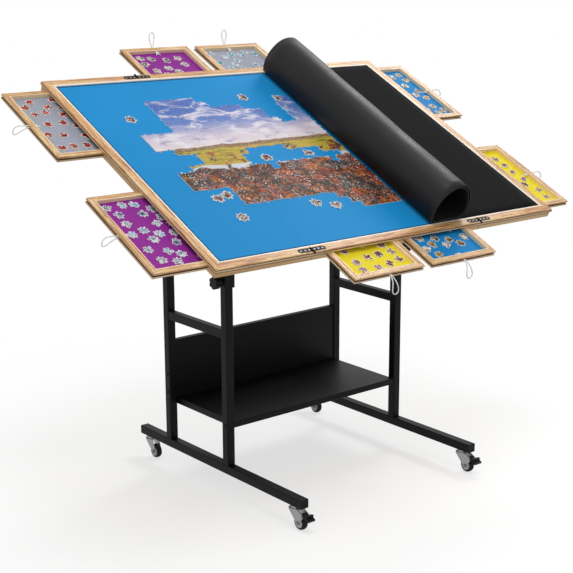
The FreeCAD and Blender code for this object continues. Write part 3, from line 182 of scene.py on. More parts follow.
class Signal:
    """A number, vector or colour on its way through a material's nodes.

    A method adds a node or two to it and gives what comes out.

    Attributes:
        shader: the material being wired.
        socket: the output that carries it.
    """

    def __init__(self, shader: Shader, socket: bpy.types.NodeSocket) -> None:
        """Takes up the output of a node."""
        self.shader, self.socket = shader, socket

    def sum(self, operation: str, other: Value = 0.0, clamp: bool = False) -> Signal:
        """The result of one sum with another value."""
        return self.shader.add("Math", {0: self, 1: other}, operation=operation, use_clamp=clamp)

    def __add__(self, other: Value) -> Signal:
        """This and another value together."""
        return self.sum("ADD", other)

    def __sub__(self, other: Value) -> Signal:
        """This less another value."""
        return self.sum("SUBTRACT", other)

    def __mul__(self, other: Value) -> Signal:
        """This times another value."""
        return self.sum("MULTIPLY", other)

    def __abs__(self) -> Signal:
        """This without its sign."""
        return self.sum("ABSOLUTE")

    def larger(self, other: Value) -> Signal:
        """The larger of this and another value."""
        return self.sum("MAXIMUM", other)

    def step(self, low: float, high: float) -> Signal:
        """0 below low, 1 above high, and smooth between them."""
        inputs = {"Value": self, "From Min": low, "From Max": high}
        return self.shader.add("MapRange", inputs, interpolation_type="SMOOTHSTEP")

    def line(self, middle: float, half: float) -> Signal:
        """1 within half of the middle, and 0 away from it."""
        return abs(self - middle).step(half * 1.4, half * 0.6)

    def scaled(self, x: float, y: float, z: float) -> Signal:
        """This vector times a scale for each axis."""
        return self.shader.add("VectorMath", {0: self, 1: (x, y, z)}, operation="MULTIPLY")

    def axes(self) -> list[Signal]:
        """The X, Y and Z of this vector."""
        split = self.shader.add("SeparateXYZ", {0: self}).socket.node
        return [Signal(self.shader, output) for output in split.outputs]

    def noise(self, scale: float, detail: float = 3.0, roughness: float = 0.5, bend: float = 0.0) -> Signal:
        """Cloudy noise from 0 to 1 at this point, with so many blotches per unit."""
        settings = {"Scale": scale, "Detail": detail, "Roughness": roughness, "Distortion": bend}
        return self.shader.add("TexNoise", {"Vector": self, **settings}, "Fac")

    def cells(self, scale: float, output: str = "Distance") -> Signal:
        """A cell texture's distance or colour at this point."""
        return self.shader.add("TexVoronoi", {"Vector": self, "Scale": scale}, output)

    def blend(self, first: Value, second: Value) -> Signal:
        """From the first colour to the second, as this goes from 0 to 1."""
        return self.shader.add("Mix", {0: self, 6: first, 7: second}, 2, data_type="RGBA")

    def coats(self, *coats: tuple[Signal, float, Colour]) -> Signal:
        """This colour under further coats.

        Args:
            coats: where each lies, how strong it is and its colour.

        Returns:
            The colour that shows.
        """
        tone = self
        for share, strength, colour in coats:
            tone = (share * strength).blend(tone, colour)
        return tone

    def ramp(self, *stops: tuple[float, Colour]) -> Signal:
        """Colours along a scale that this reads.

        Args:
            stops: places from 0 to 1 and their colours, in rising order.

        Returns:
            The colour.
        """
        scale = self.shader.add("ValToRGB", {0: self})
        elements = scale.socket.node.color_ramp.elements
        while len(elements) < len(stops):
            elements.new(0.5)
        for element, (place, colour) in zip(elements, stops):
            element.position, element.color = place, colour
        return scale

    def bump(self, strength: float, distance: float) -> Signal:
        """This as a surface relief of at most that distance in metres."""
        return self.shader.add("Bump", {"Height": self, "Strength": strength, "Distance": distance})


class Shader:
    """The nodes of a material or a world, being wired."""

    def __init__(self, owner: Union[Material, bpy.types.World]) -> None:
        """Takes up a material or a world."""
        owner.use_nodes = True
        self.owner, self.nodes, self.links = owner, owner.node_tree.nodes, owner.node_tree.links

    def add(self, kind: str, inputs: dict[Union[str, int], Value], output: Union[str, int] = 0,
            **settings: object) -> Signal:
        """Adds a node.

        Args:
            kind: the node's type, without its ShaderNode prefix.
            inputs: a value or a signal for each input.
            output: which output is wanted.
            settings: the node's own properties.

        Returns:
            That output.
        """
        node = self.nodes.new("ShaderNode" + kind)
        for key, value in settings.items():
            setattr(node, key, value)
        for key, value in inputs.items():
            self.feed(node.inputs[key], value)
        return Signal(self, node.outputs[output])

    def feed(self, socket: bpy.types.NodeSocket, value: Value) -> None:
        """Sets a socket to a value, or joins a signal to it.

        Args:
            socket: the input.
            value: what it gets.
        """
        if isinstance(value, Signal):
            self.links.new(value.socket, socket)
        else:
            socket.default_value = value

    def object_point(self) -> Signal:
        """Object coordinates, which are row metres at rest."""
        return self.add("TexCoord", {}, "Object")

    def board_point(self, board: BoardFrame) -> Signal:
        """The point in the board's own axes.

        Args:
            board: the board's frame.

        Returns:
            A vector in metres.
        """
        shift = -(Matrix.Rotation(-board.tilt, 3, "X") @ board.origin)
        inputs = {"Vector": self.object_point(), "Location": shift, "Rotation": (-board.tilt, 0, 0)}
        return self.add("Mapping", inputs, vector_type="POINT")

    def piece_tone(self) -> Signal:
        """The tone of each puzzle piece, from 0 to 1."""
        return self.add("Attribute", {}, "Fac", attribute_name="piece_tone")

    def seen(self) -> Signal:
        """1 for what the camera sees, straight, mirrored or through glass, and 0 for other rays.

        Returns:
            A number.
        """
        rays = self.add("LightPath", {}).socket.node.outputs
        camera, glossy, through = (
            Signal(self, rays[f"Is {kind} Ray"]) for kind in ("Camera", "Glossy", "Transmission"))
        return camera.sum("ADD", glossy, clamp=True).sum("ADD", through, clamp=True)

    def finish(self, **sockets: Value) -> None:
        """Fills sockets of the surface, named with _ for a space."""
        for name, value in sockets.items():
            self.feed(self.nodes["Principled BSDF"].inputs[name.replace("_", " ")], value)


@dataclass(frozen=True)
class Finish:
    """A finish with a material of its own.

    Attributes:
        name: material name.
    """

    name: str

    def wire(self, shader: Shader) -> None:
        """Wires the finish into a new material."""
        raise NotImplementedError

    def build(self) -> Material:
        """Makes the material.

        Returns:
            The material.
        """
        shader = Shader(bpy.data.materials.new(self.name))
        self.wire(shader)
        return shader.owner


@dataclass(frozen=True)
class Pine(Finish):
    """Clear-lacquered pine strips, mitred where two strips of a rim meet.

    Attributes:
        board: the board's frame.
        centre: middle of the rim that the strips make, board millimetres.
        half: the rim's half sizes along X and Y, board millimetres.
        groove: top, bottom and depth of the groove in the rim's outer edge, where shade is painted,
            millimetres.
        light, dark: tones of the wood.
        width: of the strips; their inner edge gets a painted pale highlight, as if lit.
        inner_highlight: tone of that painted highlight.
    """

    board: BoardFrame
    centre: Spot = (0.0, 0.0)
    half: Spot = (525.0, 382.5)
    groove: Triple = (-1.8, -4.0, 2.0)
    light: Colour = tint(240, 199, 140)
    dark: Colour = tint(216, 160, 96)
    width: float = 26.0
    inner_highlight: Colour = tint(255, 248, 236)

    def wire(self, shader: Shader) -> None:
        """Wires the grain along each strip, its streaks, the mitres, painted shade in the groove and the fold
        gaps, painted highlights on the bead and the inner edge, and the lacquer.

        Args:
            shader: the new material.
        """
        point = shader.board_point(self.board)
        x, y, z = point.axes()
        beyond_x = abs(x - self.centre[0] * MM) - self.half[0] * MM
        beyond_y = abs(y - self.centre[1] * MM) - self.half[1] * MM
        past_mitre, edge = beyond_x - beyond_y, beyond_x.larger(beyond_y)
        across = past_mitre.step(-0.0001, 0.0001)
        ways = {0: across, 4: point.scaled(1, 22, 22), 5: point.scaled(22, 1.06, 22)}
        grain = shader.add("Mix", ways, 1, data_type="VECTOR")
        rings, fibres = grain.noise(8, 3, 0.6, 0.9), grain.noise(46, 3, 0.65)
        streaks, veins = grain.noise(5.2, 2, 0.5, 1.6), grain.noise(11.0, 2, 0.55, 2.2)
        joint = abs(past_mitre).step(0.0007, 0.0002)
        # Painted shade in the gap along each fold line.
        fold_gap_shade = abs(x).line(self.board.fold * MM, 0.0007)
        top, bottom, depth = self.groove
        # Painted shade in the groove of the outer edge, darker brown within its depth and height.
        groove_shade_reach = edge.step(-0.0002, -0.0006) * edge.step(-(depth + 0.8) * MM, -(depth + 0.3) * MM)
        level = z.step(top * MM + 0.0003, top * MM) * z.step(bottom * MM - 0.0003, bottom * MM)
        # Painted highlight on the bead below the groove.
        bead_highlight = edge.step(-0.001, -0.0003) * z.line((bottom - 1.7) * MM, 0.0016)
        # Painted highlight: a pale band along the inner edge, and over a tray's inner wall, as if lit.
        inner = edge.step(-(self.width - 5.0) * MM, -(self.width - 4.4) * MM)
        tone = grain.noise(3.1, 2, 0.55, 0.4).step(0.36, 0.64).blend(self.light, self.dark).coats(
            (rings.step(0.52, 0.6), 0.62, tint(184, 118, 56)),
            (streaks.step(0.55, 0.62), 0.72, tint(158, 92, 40)),
            (streaks.step(0.44, 0.36), 0.5, tint(252, 226, 180)),
            (veins.line(0.56, 0.03), 0.55, tint(128, 72, 30)),
            (fibres.step(0.48, 0.7), 0.34, tint(150, 92, 42)),
            (joint.larger(fold_gap_shade), 0.6, tint(104, 60, 28)),
            (groove_shade_reach * level, 0.85, tint(92, 50, 22)),
            (bead_highlight, 0.6, tint(255, 238, 208)),
            (inner, 0.9, self.inner_highlight))
        shader.finish(
            Base_Color=tone, Roughness=fibres * 0.22 + 0.36, Specular_IOR_Level=0.42, Coat_Weight=0.12,
            Coat_Roughness=0.3, Normal=(fibres + rings).bump(0.35, 0.00025))


@dataclass(frozen=True)
class Ply(Finish):
    """Pale plywood with a fine long grain and lighter patches.

    Attributes:
        board: the board's frame.
    """

    board: BoardFrame

    def wire(self, shader: Shader) -> None:
        """Wires the face veneer, a painted shadow under the rails' overhang and painted shade in the gaps at
        the folds.

        Args:
            shader: the new material.
        """
        point = shader.board_point(self.board)
        x, _, z = point.axes()
        grain = point.scaled(1, 12, 12)
        pores = grain.noise(70, 2, 0.7)
        # Painted shadow under the rails' overhang at the top of the casing, and painted shade in the fold
        # gaps.
        shade_under_rails_and_folds = z.step(-0.0136, -0.0118).larger(abs(x).line(self.board.fold * MM, 0.0008))
        veneer = grain.noise(3.4, 4, 0.6, 1.4).ramp(
            (0.3, tint(222, 176, 122)), (0.52, tint(240, 202, 150)), (0.72, tint(248, 218, 172)))
        tone = veneer.coats((pores.step(0.55, 0.75), 0.3, tint(150, 104, 62)), (shade_under_rails_and_folds, 0.75, tint(96, 54, 26)))
        shader.finish(Base_Color=tone, Roughness=0.62, Specular_IOR_Level=0.3, Normal=pores.bump(0.3, 0.0002))


@dataclass(frozen=True)
class FacedSheet(Finish):
    """A matt coloured facing on a thin board, with a fine even tooth.

    Attributes:
        colour: the facing's colour.
        roughness: how matt it is.
        drift: how far its tone drifts over the sheet.
        rim: half sizes of the opening that it fills on the board, millimetres, with the board's frame; a
            painted shadow of the rails lies along it.
    """

    colour: Colour
    roughness: float = 0.56
    drift: float = 0.06
    rim: Optional[tuple[float, float, BoardFrame]] = None

    def wire(self, shader: Shader) -> None:
        """Wires the facing, with a painted shadow of the rails along its rim where it has one.

        Args:
            shader: the new material.
        """
        point = shader.object_point()
        slow, tooth = point.noise(4, 2), point.noise(1400, 2, 0.6)
        darker = dimmed(self.colour, 1 - 2 * self.drift)
        tone = slow.step(0.3, 0.7).blend(self.colour, darker).coats((tooth.step(0.62, 0.8), 0.12, darker))
        if self.rim:
            x, y, _ = shader.board_point(self.rim[2]).axes()
            edge = (abs(x) - self.rim[0] * MM).larger(abs(y) - self.rim[1] * MM)
            # Painted shadow of the rails along the facing's rim.
            tone = tone.coats((edge.step(-0.0062, -0.0048), 0.7, tint(16, 44, 72)))
        shader.finish(
            Base_Color=tone, Roughness=slow * 0.08 + (self.roughness - 0.04), Specular_IOR_Level=0.07,
            Normal=tooth.bump(0.12, 0.00015))


@dataclass(frozen=True)
class Enamel(Finish):
    """Baked or moulded black with a faint pebble, for tubes and plastic.

    Attributes:
        colour: its colour.
        roughness: how satin it is.
        pebble: pebbles per metre.
        relief: depth of the pebble, metres.
    """

    colour: Colour = tint(7, 7, 8)
    roughness: float = 0.46
    pebble: float = 900.0
    relief: float = 0.00012

    def wire(self, shader: Shader) -> None:
        """Wires the pebble and its small changes of gloss.

        Args:
            shader: the new material.
        """
        point = shader.object_point()
        smears = point.noise(7, 3, 0.6)
        dusty = (*(channel + 0.0015 for channel in self.colour[:3]), 1.0)
        shader.finish(
            Base_Color=smears.step(0.45, 0.75).blend(self.colour, dusty), Specular_IOR_Level=0.13,
            Roughness=smears * 0.14 + (self.roughness - 0.07),
            Normal=point.noise(self.pebble, 2, 0.55).bump(0.3, self.relief))


@dataclass(frozen=True)
class BlackLaminate(Finish):
    """Black wood-effect laminate of the shelf and its back panel."""

    def wire(self, shader: Shader) -> None:
        """Wires the pressed grain.

        Args:
            shader: the new material.
        """
        point = shader.object_point()
        grain = point.scaled(1, 26, 26).noise(12, 4, 0.65, 0.6)
        shader.finish(
            Base_Color=grain.step(0.4, 0.7).blend(tint(5, 5, 6), tint(11, 10, 11)), Specular_IOR_Level=0.13,
            Roughness=point.noise(5, 2) * 0.16 + 0.38, Normal=grain.bump(0.25, 0.0002))


@dataclass(frozen=True)
class Plated(Finish):
    """Plated metal with fine rolling marks.

    Attributes:
        colour: its colour.
        roughness: how dull it is.
    """

    colour: Colour
    roughness: float

    def wire(self, shader: Shader) -> None:
        """Wires the plating's spangle and wear.

        Args:
            shader: the new material.
        """
        point = shader.object_point()
        marks = point.scaled(40, 40, 900).noise(4, 3, 0.6)
        worn = dimmed(self.colour, 0.72)
        tone = marks.step(0.45, 0.75).blend(self.colour, worn)
        shader.finish(
            Base_Color=tone.coats((point.cells(260, "Color").axes()[0], 0.16, worn)), Metallic=1.0,
            Roughness=marks * 0.22 + (self.roughness - 0.1), Normal=marks.bump(0.12, 0.0001))


@dataclass(frozen=True)
class Felt(Finish):
    """Needled black felt, the mat's upper side."""

    def wire(self, shader: Shader) -> None:
        """Wires the tangled fibres and their pile.

        Args:
            shader: the new material.
        """
        point = shader.object_point()
        tangle, tufts = point.noise(1500, 4, 0.75, 1.5), point.noise(190, 3, 0.6)
        tone = tangle.step(0.35, 0.7).blend(tint(12, 12, 13), tint(38, 37, 38))
        tone = tone.coats((point.noise(9, 3, 0.6).step(0.4, 0.7), 0.3, tint(20, 20, 21)))
        shader.finish(
            Base_Color=tone, Roughness=0.95, Specular_IOR_Level=0.08, Sheen_Weight=0.1, Sheen_Roughness=0.5,
            Sheen_Tint=tint(110, 110, 114), Normal=(tangle * 0.6 + tufts).bump(0.5, 0.0004))


@dataclass(frozen=True)
class RubberBacking(Finish):
    """Dark satin backing of the mat, with a close pressed weave."""

    def wire(self, shader: Shader) -> None:
        """Wires the pressed weave and its soft sheen, on the mat's own map.

        Args:
            shader: the new material.
        """
        flat = shader.add("UVMap", {}, uv_map="Cloth")
        u, v, _ = flat.axes()
        ribs = (u * 3600).sum("SINE") + (v * 3600).sum("SINE")
        fine = flat.noise(700, 3, 0.7)
        shader.finish(
            Base_Color=fine.step(0.35, 0.7).blend(tint(8, 8, 9), tint(15, 14, 15)), Specular_IOR_Level=0.28,
            Roughness=shader.object_point().noise(14, 3, 0.55) * 0.16 + 0.4,
            Normal=(ribs * 0.2 + fine).bump(0.25, 0.00015))


@dataclass(frozen=True)
class CottonCord(Finish):
    """Soft white twisted cotton."""

    def wire(self, shader: Shader) -> None:
        """Wires the twist of the yarns.

        Args:
            shader: the new material.
        """
        point = shader.object_point()
        yarn = point.noise(900, 3, 0.6, 1.0)
        twist = {"Vector": point, "Scale": 190.0, "Distortion": 3.0, "Detail": 2.0}
        lay = shader.add("TexWave", twist, "Fac", bands_direction="DIAGONAL")
        shader.finish(
            Base_Color=yarn.step(0.3, 0.7).blend(tint(255, 255, 254), tint(246, 245, 243)), Roughness=0.85,
            Specular_IOR_Level=0.2, Sheen_Weight=0.3, Normal=(yarn * 0.5 + lay).bump(0.6, 0.0003))


@dataclass(frozen=True)
class Card(Finish):
    """Pale cut edge of pressed card."""

    def wire(self, shader: Shader) -> None:
        """Wires the layers of the card.

        Args:
            shader: the new material.
        """
        fibre = shader.object_point().noise(1100, 3, 0.7)
        shader.finish(
            Base_Color=fibre.blend(tint(254, 252, 248), tint(238, 235, 230)), Roughness=0.85,
            Specular_IOR_Level=0.2, Normal=fibre.bump(0.4, 0.0002))


@dataclass(frozen=True)
class ValleyPicture(Finish):
    """The assembled puzzle's picture: a generic river valley with autumn woods.

    Attributes:
        board: the board's frame.
    """

    board: BoardFrame

    def below(self, point: Signal, level: float, swing: float, ragged: float, soft: float = 0.0012) -> Signal:
        """1 under a wandering line across the picture.

        Args:
            point: the board's own coordinates, metres.
            level: the line's height on the board.
            swing, ragged: how far it wanders, slowly and quickly.
            soft: width of its edge.

        Returns:
            A number.
        """
        wander = point.scaled(1, 0, 0).noise(9 + 40 * level, 3, 0.55) * swing
        line = wander + point.scaled(1, 0.2, 0).noise(60, 4, 0.7) * ragged
        return (line + (level - 0.5 * (swing + ragged)) - point.axes()[1]).step(-soft, soft)

    def sky(self, point: Signal) -> Signal:
        """Evening sky with streaks and heaps of cloud.

        Args:
            point: the board's own coordinates, metres.

        Returns:
            A colour.
        """
        clear = ((point.axes()[1] - 0.03) * 3.7).ramp(
            (0.0, tint(244, 232, 226)), (0.22, tint(220, 208, 224)), (0.46, tint(104, 134, 200)),
            (0.74, tint(74, 112, 190)), (1.0, tint(112, 132, 190)))
        heaps = point.scaled(1, 2.6, 1).noise(13, 6, 0.65, 0.7).step(0.47, 0.62)
        shade = point.scaled(1, 2.2, 1).noise(24, 5, 0.7, 0.4).step(0.52, 0.68)
        return clear.coats((heaps, 0.9, tint(238, 232, 240)), (shade, 0.6, tint(112, 116, 166)))

    def meadow(self, point: Signal) -> Signal:
        """Ripe fields with dark hedges.

        Args:
            point: the board's own coordinates, metres.

        Returns:
            A colour.
        """
        strips = point.scaled(3, 34, 1).noise(3.4, 4, 0.6).ramp(
            (0.32, tint(104, 112, 42)), (0.46, tint(188, 176, 62)), (0.6, tint(214, 168, 78)),
            (0.74, tint(150, 146, 52)))
        hedge = point.scaled(2, 16, 1).noise(9, 4, 0.7, 0.8)
        return strips.coats((hedge.step(0.56, 0.62), 0.8, tint(70, 66, 34)))

    def woods(self, point: Signal) -> Signal:
        """Close autumn tree crowns.

        Args:
            point: the board's own coordinates, metres.

        Returns:
            A colour.
        """
        stand = point.scaled(1, 1.5, 1).noise(9, 4, 0.62, 0.5).ramp(
            (0.3, tint(60, 50, 46)), (0.4, tint(120, 54, 46)), (0.46, tint(204, 92, 34)),
            (0.52, tint(112, 106, 112)), (0.58, tint(84, 70, 52)), (0.64, tint(214, 112, 40)),
            (0.72, tint(92, 84, 90)))
        drift = point.scaled(1, 1.8, 1).noise(15, 3, 0.55, 0.6)
        crown, leaf = (point.cells(size, "Color").axes()[0] for size in (84, 360))
        gleam = leaf.step(0.84, 0.94) * point.noise(26, 2).step(0.42, 0.6)
        return stand.coats(
            (drift.step(0.53, 0.6), 0.72, tint(74, 70, 58)),
            (drift.step(0.44, 0.37), 0.66, tint(226, 138, 52)),
            (crown.step(0.7, 0.9), 0.4, tint(206, 138, 84)),
            (point.cells(84).step(0.35, 0.8), 0.75, tint(38, 28, 28)),
            (leaf.step(0.42, 0.2), 0.8, tint(32, 24, 24)), (gleam, 0.85, tint(246, 238, 232)))

    def wire(self, shader: Shader) -> None:
        """Wires sky, hills, fields, river and woods over the board's own axes.

        Args:
            shader: the new material.
        """
        point = shader.board_point(self.board)
        hills = point.noise(150, 3, 0.7).step(0.4, 0.6).blend(tint(118, 92, 70), tint(176, 146, 108))
        picture, river, woods = self.sky(point), tint(214, 218, 224), self.woods(point)
        picture = self.below(point, 0.05, 0.026, 0.008).blend(picture, hills)
        picture = self.below(point, 0.036, 0.016, 0.006).blend(picture, self.meadow(point))
        picture = self.below(point, -0.03, 0.03, 0.012).blend(picture, river)
        picture = self.below(point, -0.044, 0.075, 0.03, 0.002).blend(picture, woods)
        copses = point.noise(17, 4, 0.7).step(0.53, 0.57) * self.below(point, 0.026, 0.03, 0.01)
        picture = copses.blend(picture, woods).coats((shader.piece_tone(), 0.1, tint(20, 18, 20)))
        linen = point.noise(900, 2).bump(0.12, 0.0001)
        shader.finish(Base_Color=picture, Roughness=0.5, Specular_IOR_Level=0.08, Normal=linen)


class TrayColour(Enum):
    """Colour of a tray's lining, and of the pieces sorted into it."""

    GREY = (
        (164, 169, 183), ((92, 20, 20), (206, 58, 48), (52, 24, 24), (214, 120, 100), (120, 30, 26)))
    SLATE = (
        (164, 169, 184), ((24, 116, 156), (222, 234, 238), (58, 78, 122), (96, 190, 204), (40, 60, 96)))
    PURPLE = (
        (150, 46, 154), ((104, 162, 206), (232, 232, 240), (34, 52, 74), (206, 212, 226), (44, 78, 118)))
    PLUM = (
        (146, 44, 150), ((206, 196, 180), (62, 52, 66), (232, 226, 214), (84, 72, 70), (54, 46, 56)))
    YELLOW = (
        (246, 226, 44), ((48, 34, 40), (156, 70, 40), (30, 28, 34), (216, 176, 164), (96, 44, 40)))
    BLUE = (
        (30, 138, 206), ((240, 234, 214), (30, 28, 34), (214, 168, 70), (58, 48, 46), (84, 52, 38)))
    BOARD = (
        (30, 146, 212), ((38, 26, 26), (150, 84, 52), (24, 22, 28), (214, 200, 188), (58, 40, 36)))

    @property
    def lining(self) -> Colour:
        """Colour of the lining."""
        return tint(*self.value[0])

    @property
    def tops(self) -> list[Colour]:
        """Colours of the pieces' printed tops."""
        return [tint(*colour) for colour in self.value[1]]


@dataclass(frozen=True)
class SortedTops(Finish):
    """Printed tops of loose pieces, each a scrap of one part of a picture.

    Attributes:
        colour: the tray that the pieces lie in.
    """

    colour: TrayColour

    def wire(self, shader: Shader) -> None:
        """Wires one tone for each piece, broken up by its own scrap of print.

        Args:
            shader: the new material.
        """
        blots = shader.object_point().noise(72, 2, 0.55, 0.8)
        share = (shader.piece_tone() * 0.75).sum("ADD", (blots - 0.46) * 2.8, clamp=True)
        tops = self.colour.tops
        colour = share.ramp(*((index / (len(tops) - 1), top) for index, top in enumerate(tops)))
        relief = blots.bump(0.08, 0.0001)
        shader.finish(Base_Color=colour, Roughness=0.5, Specular_IOR_Level=0.1, Normal=relief)


# ------------------------------------------------------------------ pieces


def in_scene(name: str, item: bpy.types.ID) -> Thing:
    """Puts a mesh, curve, lamp or camera into the scene.

    Args:
        name: the object's name.
        item: what it holds.

    Returns:
        The object.
    """
    thing = bpy.data.objects.new(name, item)
    bpy.context.scene.collection.objects.link(thing)
    return thing


def smooth_curve(name: str, points: Sequence[Sequence[float]], steps: int,
                 closed: bool = False) -> bpy.types.Curve:
    """A smooth line that control points pull into shape.

    Args:
        name: the curve's name.
        points: the control points.
        steps: how finely each stretch is divided.
        closed: whether its ends meet.

    Returns:
        The curve.
    """
    curve = bpy.data.curves.new(name, "CURVE")
    curve.dimensions, curve.resolution_u = "3D", steps
    line = curve.splines.new("NURBS")
    line.points.add(len(points) - 1)
    for place, point in zip(line.points, points):
        place.co = (*point, 1.0)
    line.order_u, line.use_cyclic_u, line.use_endpoint_u = 3, closed, not closed
    return curve


def flat_faces(outlines: Sequence[Sequence[Vector]], height: float) -> Work:
    """One flat face for each outline.

    Args:
        outlines: corners in order.
        height: where the faces lie.

    Returns:
        The bmesh.
    """
    work = bmesh.new()
    for outline in outlines:
        work.faces.new([work.verts.new((*point, height)) for point in outline])
    return work


def face_up(work: Work) -> None:
    """Turns flat faces so that all look up."""
    work.normal_update()
    bmesh.ops.reverse_faces(work, faces=[face for face in work.faces if face.normal.z < 0])


def corners_in(geometry: Iterable[object]) -> list[bmesh.types.BMVert]:
    """The vertices among some geometry."""
    return [part for part in geometry if isinstance(part, bmesh.types.BMVert)]


def thicken(work: Work, height: float) -> None:
    """Raises flat faces into closed solids.

    Args:
        work: the bmesh that holds them.
        height: how thick they become.
    """
    raised = bmesh.ops.extrude_face_region(work, geom=list(work.faces))["geom"]
    bmesh.ops.translate(work, verts=corners_in(raised), vec=(0, 0, height))
    bmesh.ops.recalc_face_normals(work, faces=list(work.faces))


def turned(sides: int, low: float, high: float, length: float) -> tuple[Work, bmesh.types.BMFace]:
    """A closed prism or cone about Z.

    Args:
        sides: how many it has.
        low, high: its radius at either end.
        length: from end to end.

    Returns:
        The bmesh and its upper face.
    """
    work = bmesh.new()
    bmesh.ops.create_cone(work, cap_ends=True, segments=sides, radius1=low, radius2=high, depth=length)
    return work, max(work.faces, key=lambda face: face.calc_center_median().z)


def add_part(work: Work, part: Work, place: Matrix) -> None:
    """Adds a part to a bmesh.

    Args:
        work: the bmesh that gets it.
        part: the part; it is freed.
        place: where it goes.
    """
    mesh = bpy.data.meshes.new("part")
    part.transform(place)
    part.to_mesh(mesh)
    part.free()
    work.from_mesh(mesh)
    bpy.data.meshes.remove(mesh)


@dataclass
class Bench:
    """Turns meshes and curves into named pieces that ride on the frame's bodies.

    Attributes:
        board: the board's frame.
        made: how many pieces are made.
    """

    frame: dict
    board: BoardFrame
    made: int = 0

    def put(self, name: str, item: bpy.types.ID, body: str, coats: Sequence[Material],
            slot: str = "") -> Thing:
        """Makes an object of a mesh or curve, gives it its finishes and lets it ride.

        Args:
            name: the piece's name.
            item: a mesh or curve, in row metres.
            body: the CAD body that it rides on; "" for a piece that rides on none.
            coats: its materials.
            slot: not used.

        Returns:
            The object.
        """
        piece = in_scene(name, item)
        for coat in coats:
            item.materials.append(coat)
        if body:
            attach(piece, body)
        self.made += 1
        log.info("piece %s on %s", name, body or "two bodies")
        return piece

    def shape(self, name: str, work: Work, place: Matrix, soft: float = 35.0) -> bpy.types.Mesh:
        """Closes a bmesh into a mesh at its place.

        Args:
            name: the mesh's name.
            work: the bmesh; it is freed.
            place: takes its own millimetres to row metres.
            soft: edges that turn by less than this, in degrees, are shaded smooth.

        Returns:
            The mesh.
        """
        mesh = bpy.data.meshes.new(name)
        work.transform(place)
        work.to_mesh(mesh)
        work.free()
        mesh.shade_smooth()
        mesh.set_sharp_from_angle(angle=math.radians(soft))
        return mesh

    def lay(self, name: str, work: Work, body: str, coats: Sequence[Material], slot: str = "") -> Thing:
        """Makes a piece of a bmesh that is in board millimetres."""
        return self.put(name, self.shape(name, work, self.board.place), body, coats, slot)

    def dress(self, coat: Material, *nodes: str) -> None:
        """Gives CAD nodes a finish.

        Args:
            coat: the finish.
            nodes: names of the nodes.
        """
        for name in nodes:
            node = self.frame["nodes"][name]
            if not node.material_slots:
                node.data.materials.append(coat)
            for place in node.material_slots:
                place.material = coat
            log.info("node %s has %s", name, coat.name)


@dataclass
class SubAssembly:
    """Pieces of the table that are made together.

    Attributes:
        bench: where they are made.
    """

    bench: Bench

    @property
    def board(self) -> BoardFrame:
        """The board's frame."""
        return self.bench.board


# ------------------------------------------------------------------ puzzle

# One side of a piece: places along and across it, from corner to corner.
KNOB = ((0.32, -0.015), (0.42, 0.03), (0.395, 0.12), (0.42, 0.20), (0.50, 0.235), (0.58, 0.20), (0.605, 0.12),
        (0.58, 0.03), (0.68, -0.015))


@dataclass
class JigsawCut:
    """The cutting plan of a puzzle: shared wavy sides with one knob each.

    Attributes:
        corner: first corner of the grid, board millimetres.
        pitch: size of a piece, millimetres.
        straight_columns, straight_rows: grid lines that are cut straight.
        seed: picks the plan.
        stray: how far a crossing may be off its place, millimetres.
        slide, sizes: how far a knob may be off its place, and its least and largest size, as shares.
    """

    corner: Spot
    pitch: float
    straight_columns: frozenset[int] = frozenset()
    straight_rows: frozenset[int] = frozenset()
    seed: int = 7
    stray: float = 1.0
    slide: float = 0.05
    sizes: Spot = (0.9, 1.12)

    def spot(self, column: float, row: float) -> Vector:
        """A place in the grid, board millimetres."""
        return Vector((self.corner[0] + column * self.pitch, self.corner[1] + row * self.pitch))

    def crossing(self, column: int, row: int) -> Vector:
        """Where two grid lines cross, moved a little as cut puzzles are.

        Args:
            column, row: the grid lines.

        Returns:
            A board point in millimetres.
        """
        draw = random.Random(f"{self.seed} crossing {column} {row}")
        dx = 0.0 if column in self.straight_columns else draw.uniform(-self.stray, self.stray)
        dy = 0.0 if row in self.straight_rows else draw.uniform(-self.stray, self.stray)
        return self.spot(column, row) + Vector((dx, dy))

    def side(self, column: int, row: int, upright: bool) -> list[Vector]:
        """The points of one side, without its last corner.

        Args:
            column, row: the crossing that it starts from.
            upright: whether it runs along Y.

        Returns:
            Board points in millimetres.
        """
        start = self.crossing(column, row)
        if (column in self.straight_columns) if upright else (row in self.straight_rows):
            return [start]
        end = self.crossing(column, row + 1) if upright else self.crossing(column + 1, row)
        along = end - start
        draw = random.Random(f"{self.seed} side {column} {row} {upright}")
        hand, slide = draw.choice((-1, 1)), draw.uniform(-self.slide, self.slide)
        size = draw.uniform(*self.sizes)
        away = Vector((-along.y, along.x)) * hand * size
        return [start] + [start + along * (a + slide) + away * b for a, b in KNOB]

    def outline(self, column: int, row: int) -> list[Vector]:
        """The outline of one piece, turning left.

        Args:
            column, row: the piece's place in the grid.

        Returns:
            Board points in millimetres.
        """
        front, back = self.side(column, row, False), self.side(column, row + 1, False)
        left, right = self.side(column, row, True), self.side(column + 1, row, True)
        far = self.crossing(column + 1, row + 1)
        return front + right + [far] + back[:0:-1] + [self.crossing(column, row + 1)] + left[:0:-1]

    def middle(self, column: int, row: int) -> Vector:
        """Middle of a piece."""
        return self.spot(column + 0.5, row + 0.5)


def loose_outline(draw: random.Random, x: float, y: float, pitch: float) -> list[Vector]:
    """The outline of a random piece, turned at random about its place.

    Args:
        draw: where its chances come from.
        x, y: its middle, board millimetres.
        pitch: size of a piece.

    Returns:
        Board points in millimetres.
    """
    cut = JigsawCut((0, 0), pitch, seed=draw.randrange(10000))
    turn = Matrix.Rotation(draw.uniform(0, 2 * math.pi), 2)
    return [turn @ (point - cut.middle(0, 0)) + Vector((x, y)) for point in cut.outline(0, 0)]


